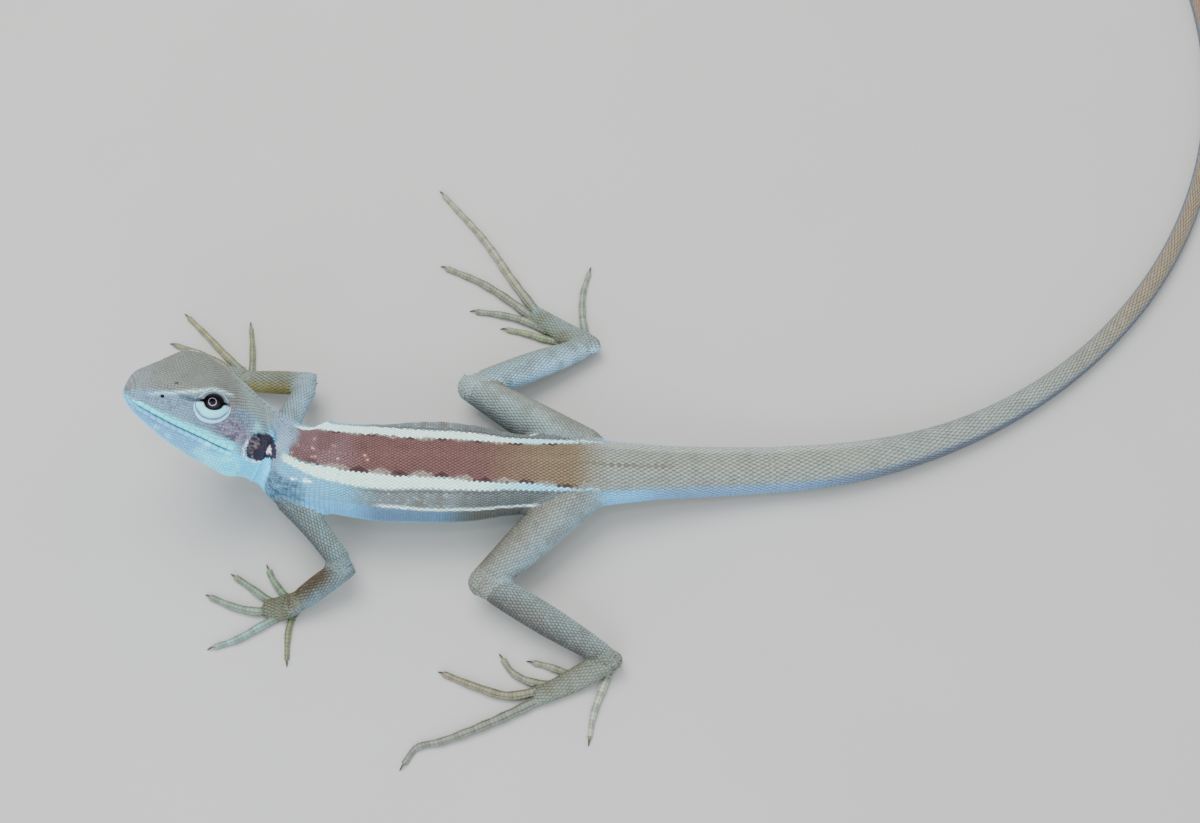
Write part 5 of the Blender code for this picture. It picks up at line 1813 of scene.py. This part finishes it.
def scaleMaterial():
    # a scale's own tone with a painted highlight on its ridge and painted shade at its edges and root,
    # and a little chance from scale to scale
    sheet = Sheet("scaly hide", Specular_IOR_Level=0.22)
    tone = sheet.attribute("tone", "Color")
    high, luck = sheet.attribute("high"), sheet.attribute("luck")
    light = sheet.spread(high, 0.0, 0.9, finish["edgePaintedShade"], finish["ridgePaintedHighlight"])
    light = light * (1.0 - 0.5 * finish["luck"] + luck * finish["luck"])
    light = light * (sheet.noise(0.35) * 0.2 + 0.9)
    sheet.feed(Base_Color=sheet.scaled(tone, light),
               Roughness=sheet.spread(sheet.noise(1.4) + luck * 0.2, 0.3, 0.8, 0.48, 0.66))
    sheet.bump(sheet.noise(0.12, 3.0), 0.3, 0.02)
    return sheet.material


def skinMaterial():
    # the same tones, duller and rougher, darkened as painted shade where skin shows between scales
    sheet = Sheet("bare hide", Specular_IOR_Level=0.2)
    tone = sheet.attribute("tone", "Color")
    light = (sheet.noise(0.4) * 0.4 + 0.8) * finish["skinPaintedShade"]
    sheet.feed(Base_Color=sheet.scaled(tone, light),
               Roughness=sheet.spread(sheet.noise(0.8), 0.3, 0.7, 0.6, 0.8))
    sheet.bump(sheet.noise(0.15, 3.0), 0.5, 0.04)
    return sheet.material


def lidMaterial():
    # soft skin with the finest grain
    sheet = Sheet("lid", Specular_IOR_Level=0.3)
    grain = sheet.noise(0.16, 2.0)
    sheet.feed(Base_Color=sheet.scaled(sheet.attribute("tone", "Color"), grain * 0.3 + 0.85),
               Roughness=sheet.spread(grain, 0.3, 0.7, 0.42, 0.58))
    sheet.bump(grain, 0.35, 0.03)
    return sheet.material


def eyeMaterial():
    # pupil, thin pale ring and dark iris by the angle from the gaze, under a wet coat
    sheet = Sheet("wet eye", Coat_Weight=0.2, Coat_Roughness=0.03, Specular_IOR_Level=0.2)
    angle, spin = sheet.attribute("fromGaze"), sheet.attribute("spin")
    wave = (spin * 23.0).calc("SINE") * 0.5 + 0.5
    iris = sheet.mix(wave, (0.012, 0.010, 0.013, 1), (0.034, 0.024, 0.026, 1))
    iris = sheet.mix(sheet.spread(angle, 0.46, 0.62), iris, (0.022, 0.017, 0.018, 1))
    ring = sheet.spread(angle, 0.205, 0.22) * (1.0 - sheet.spread(angle, 0.25, 0.275))
    colour = sheet.mix(ring, iris, (0.46, 0.45, 0.56, 1))
    colour = sheet.mix(1.0 - sheet.spread(angle, 0.2, 0.21), colour, (0.004, 0.004, 0.006, 1))
    sheet.feed(Base_Color=colour, Roughness=sheet.spread(sheet.noise(0.3), 0.2, 0.8, 0.12, 0.25))
    return sheet.material


def drumMaterial():
    # dark, with paler streaks stretched one way
    sheet = Sheet("ear drum", Specular_IOR_Level=0.5)
    streaks = sheet.node("ShaderNodeTexNoise", {}, {
        "Vector": sheet.node("ShaderNodeMapping", {}, {
            "Vector": sheet.node("ShaderNodeTexCoord", {}, {}, "Object"),
            "Rotation": (0.3, 0.2, 0.5), "Scale": (600.0, 2600.0, 900.0)}),
        "Scale": 1.0, "Detail": 3.0})
    colour = sheet.mix(sheet.spread(streaks, 0.42, 0.66), (0.020, 0.015, 0.026, 1),
                       (0.17, 0.13, 0.16, 1))
    sheet.feed(Base_Color=colour, Roughness=sheet.spread(streaks, 0.3, 0.7, 0.28, 0.45))
    sheet.bump(streaks, 0.4, 0.05)
    return sheet.material


def clawMaterial():
    # horn, pale brown at the root and dark towards the tip
    sheet = Sheet("claw horn", Specular_IOR_Level=0.5)
    along = sheet.attribute("along")
    grain = sheet.noise(0.15, 3.0)
    colour = sheet.mix(sheet.spread(along + grain * 0.3, 0.25, 0.85), (0.20, 0.16, 0.11, 1),
                       (0.020, 0.015, 0.012, 1))
    sheet.feed(Base_Color=colour, Roughness=sheet.spread(grain, 0.3, 0.7, 0.25, 0.4))
    return sheet.material


def floorMaterial():
    # a pale even grey with the broadest and faintest clouds
    sheet = Sheet("pale floor", Specular_IOR_Level=0.2)
    colour = sheet.mix(sheet.noise(40.0), (0.415, 0.41, 0.40, 1), (0.44, 0.435, 0.425, 1))
    sheet.feed(Base_Color=colour, Roughness=sheet.spread(sheet.noise(25.0), 0.3, 0.7, 0.7, 0.8))
    return sheet.material


def wear(things, material):
    # gives each of the things this one material
    for thing in things:
        thing.data.materials.clear()
        thing.data.materials.append(material)


wear([piece for piece, _ in coatPieces], scaleMaterial())
wear([skin], skinMaterial())
wear(lids, lidMaterial())
wear(eyeballs, eyeMaterial())
wear(drums, drumMaterial())
wear(claws, clawMaterial())
print("materials made")


# what each piece rides on and stands for
flesh = [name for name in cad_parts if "eye" not in name and "eardrum" not in name]
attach(skin, "root")
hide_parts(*flesh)
for piece, region in coatPieces:
    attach(piece, "root")
for thing in lids:
    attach(thing, "root")
for thing, side in zip(eyeballs, ("left", "right")):
    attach(thing, "root")
    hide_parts(f"{side}_eye")
for thing, side in zip(drums, ("left", "right")):
    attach(thing, "root")
    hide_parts(f"{side}_eardrum")
for thing in claws:
    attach(thing, "root")


# floor, light and camera
studio = {
    "floor": 3000.0,
    "sky": (0.93, 0.96, 1.0),
    "skyPower": 1.15,
    # each lamp: colour, power, size and place
    "lamps": (
        ((1.0, 0.98, 0.95), 5.2, 420.0, (-180.0, 160.0, 620.0)),
        ((1.0, 1.0, 1.0), 0.25, 40.0, (-60.0, -150.0, 480.0)),
        ((0.82, 0.92, 1.0), 1.25, 300.0, (-120.0, -430.0, 190.0)),
    ),
    "lift": 65.5,  # degrees of the camera above the floor
    "away": 420.0,
    "aim": (0.0, 0.0, 6.0),  # in the drawing's frame
    "lens": 61.74,
}


def makeFloor():
    # a level grid, flat all over
    x, y = np.meshgrid(np.linspace(-1, 1, 9), np.linspace(-1, 1, 9))
    place = np.stack((x * studio["floor"], y * studio["floor"], 0 * x), axis=-1).reshape(-1, 3)
    i, j = (v.ravel() for v in np.meshgrid(np.arange(8), np.arange(8)))
    faces = np.stack((j * 9 + i, j * 9 + i + 1, j * 9 + i + 10, j * 9 + i + 9), axis=1)
    floor = newObject("floor", makeMesh("floor", place, faces.tolist()))
    wear([floor], floorMaterial())


def makeLight():
    # a pale sky and square lamps, each aimed at the middle of the floor
    world = bpy.data.worlds.new("studio")
    bpy.context.scene.world = world
    world.use_nodes = True
    sky = world.node_tree.nodes["Background"]
    sky.inputs["Color"].default_value = (*studio["sky"], 1)
    sky.inputs["Strength"].default_value = studio["skyPower"]
    for colour, power, size, place in studio["lamps"]:
        lamp = bpy.data.lights.new("softbox", "AREA")
        lamp.color, lamp.energy, lamp.size = colour, power, size * mm
        thing = newObject("softbox", lamp)
        thing.location = Vector(place) * mm
        thing.rotation_euler = (-thing.location).to_track_quat("-Z", "Y").to_euler()


def makeCamera():
    # set back from the aim, lifted by the angle above the floor
    lift = math.radians(studio["lift"])
    aim = np.array(studio["aim"]) - shift
    place = aim + studio["away"] * np.array((0.0, -math.cos(lift), math.sin(lift)))
    lens = bpy.data.cameras.new("camera")
    lens.lens, lens.sensor_width = studio["lens"], 36.0
    lens.clip_start, lens.clip_end = 0.01, 20.0
    camera = newObject("camera", lens)
    camera.location = Vector(place) * mm
    camera.rotation_euler = Vector(aim - place).to_track_quat("-Z", "Y").to_euler()
    bpy.context.scene.camera = camera


makeFloor()
makeLight()
makeCamera()
bpy.context.view_layer.update()
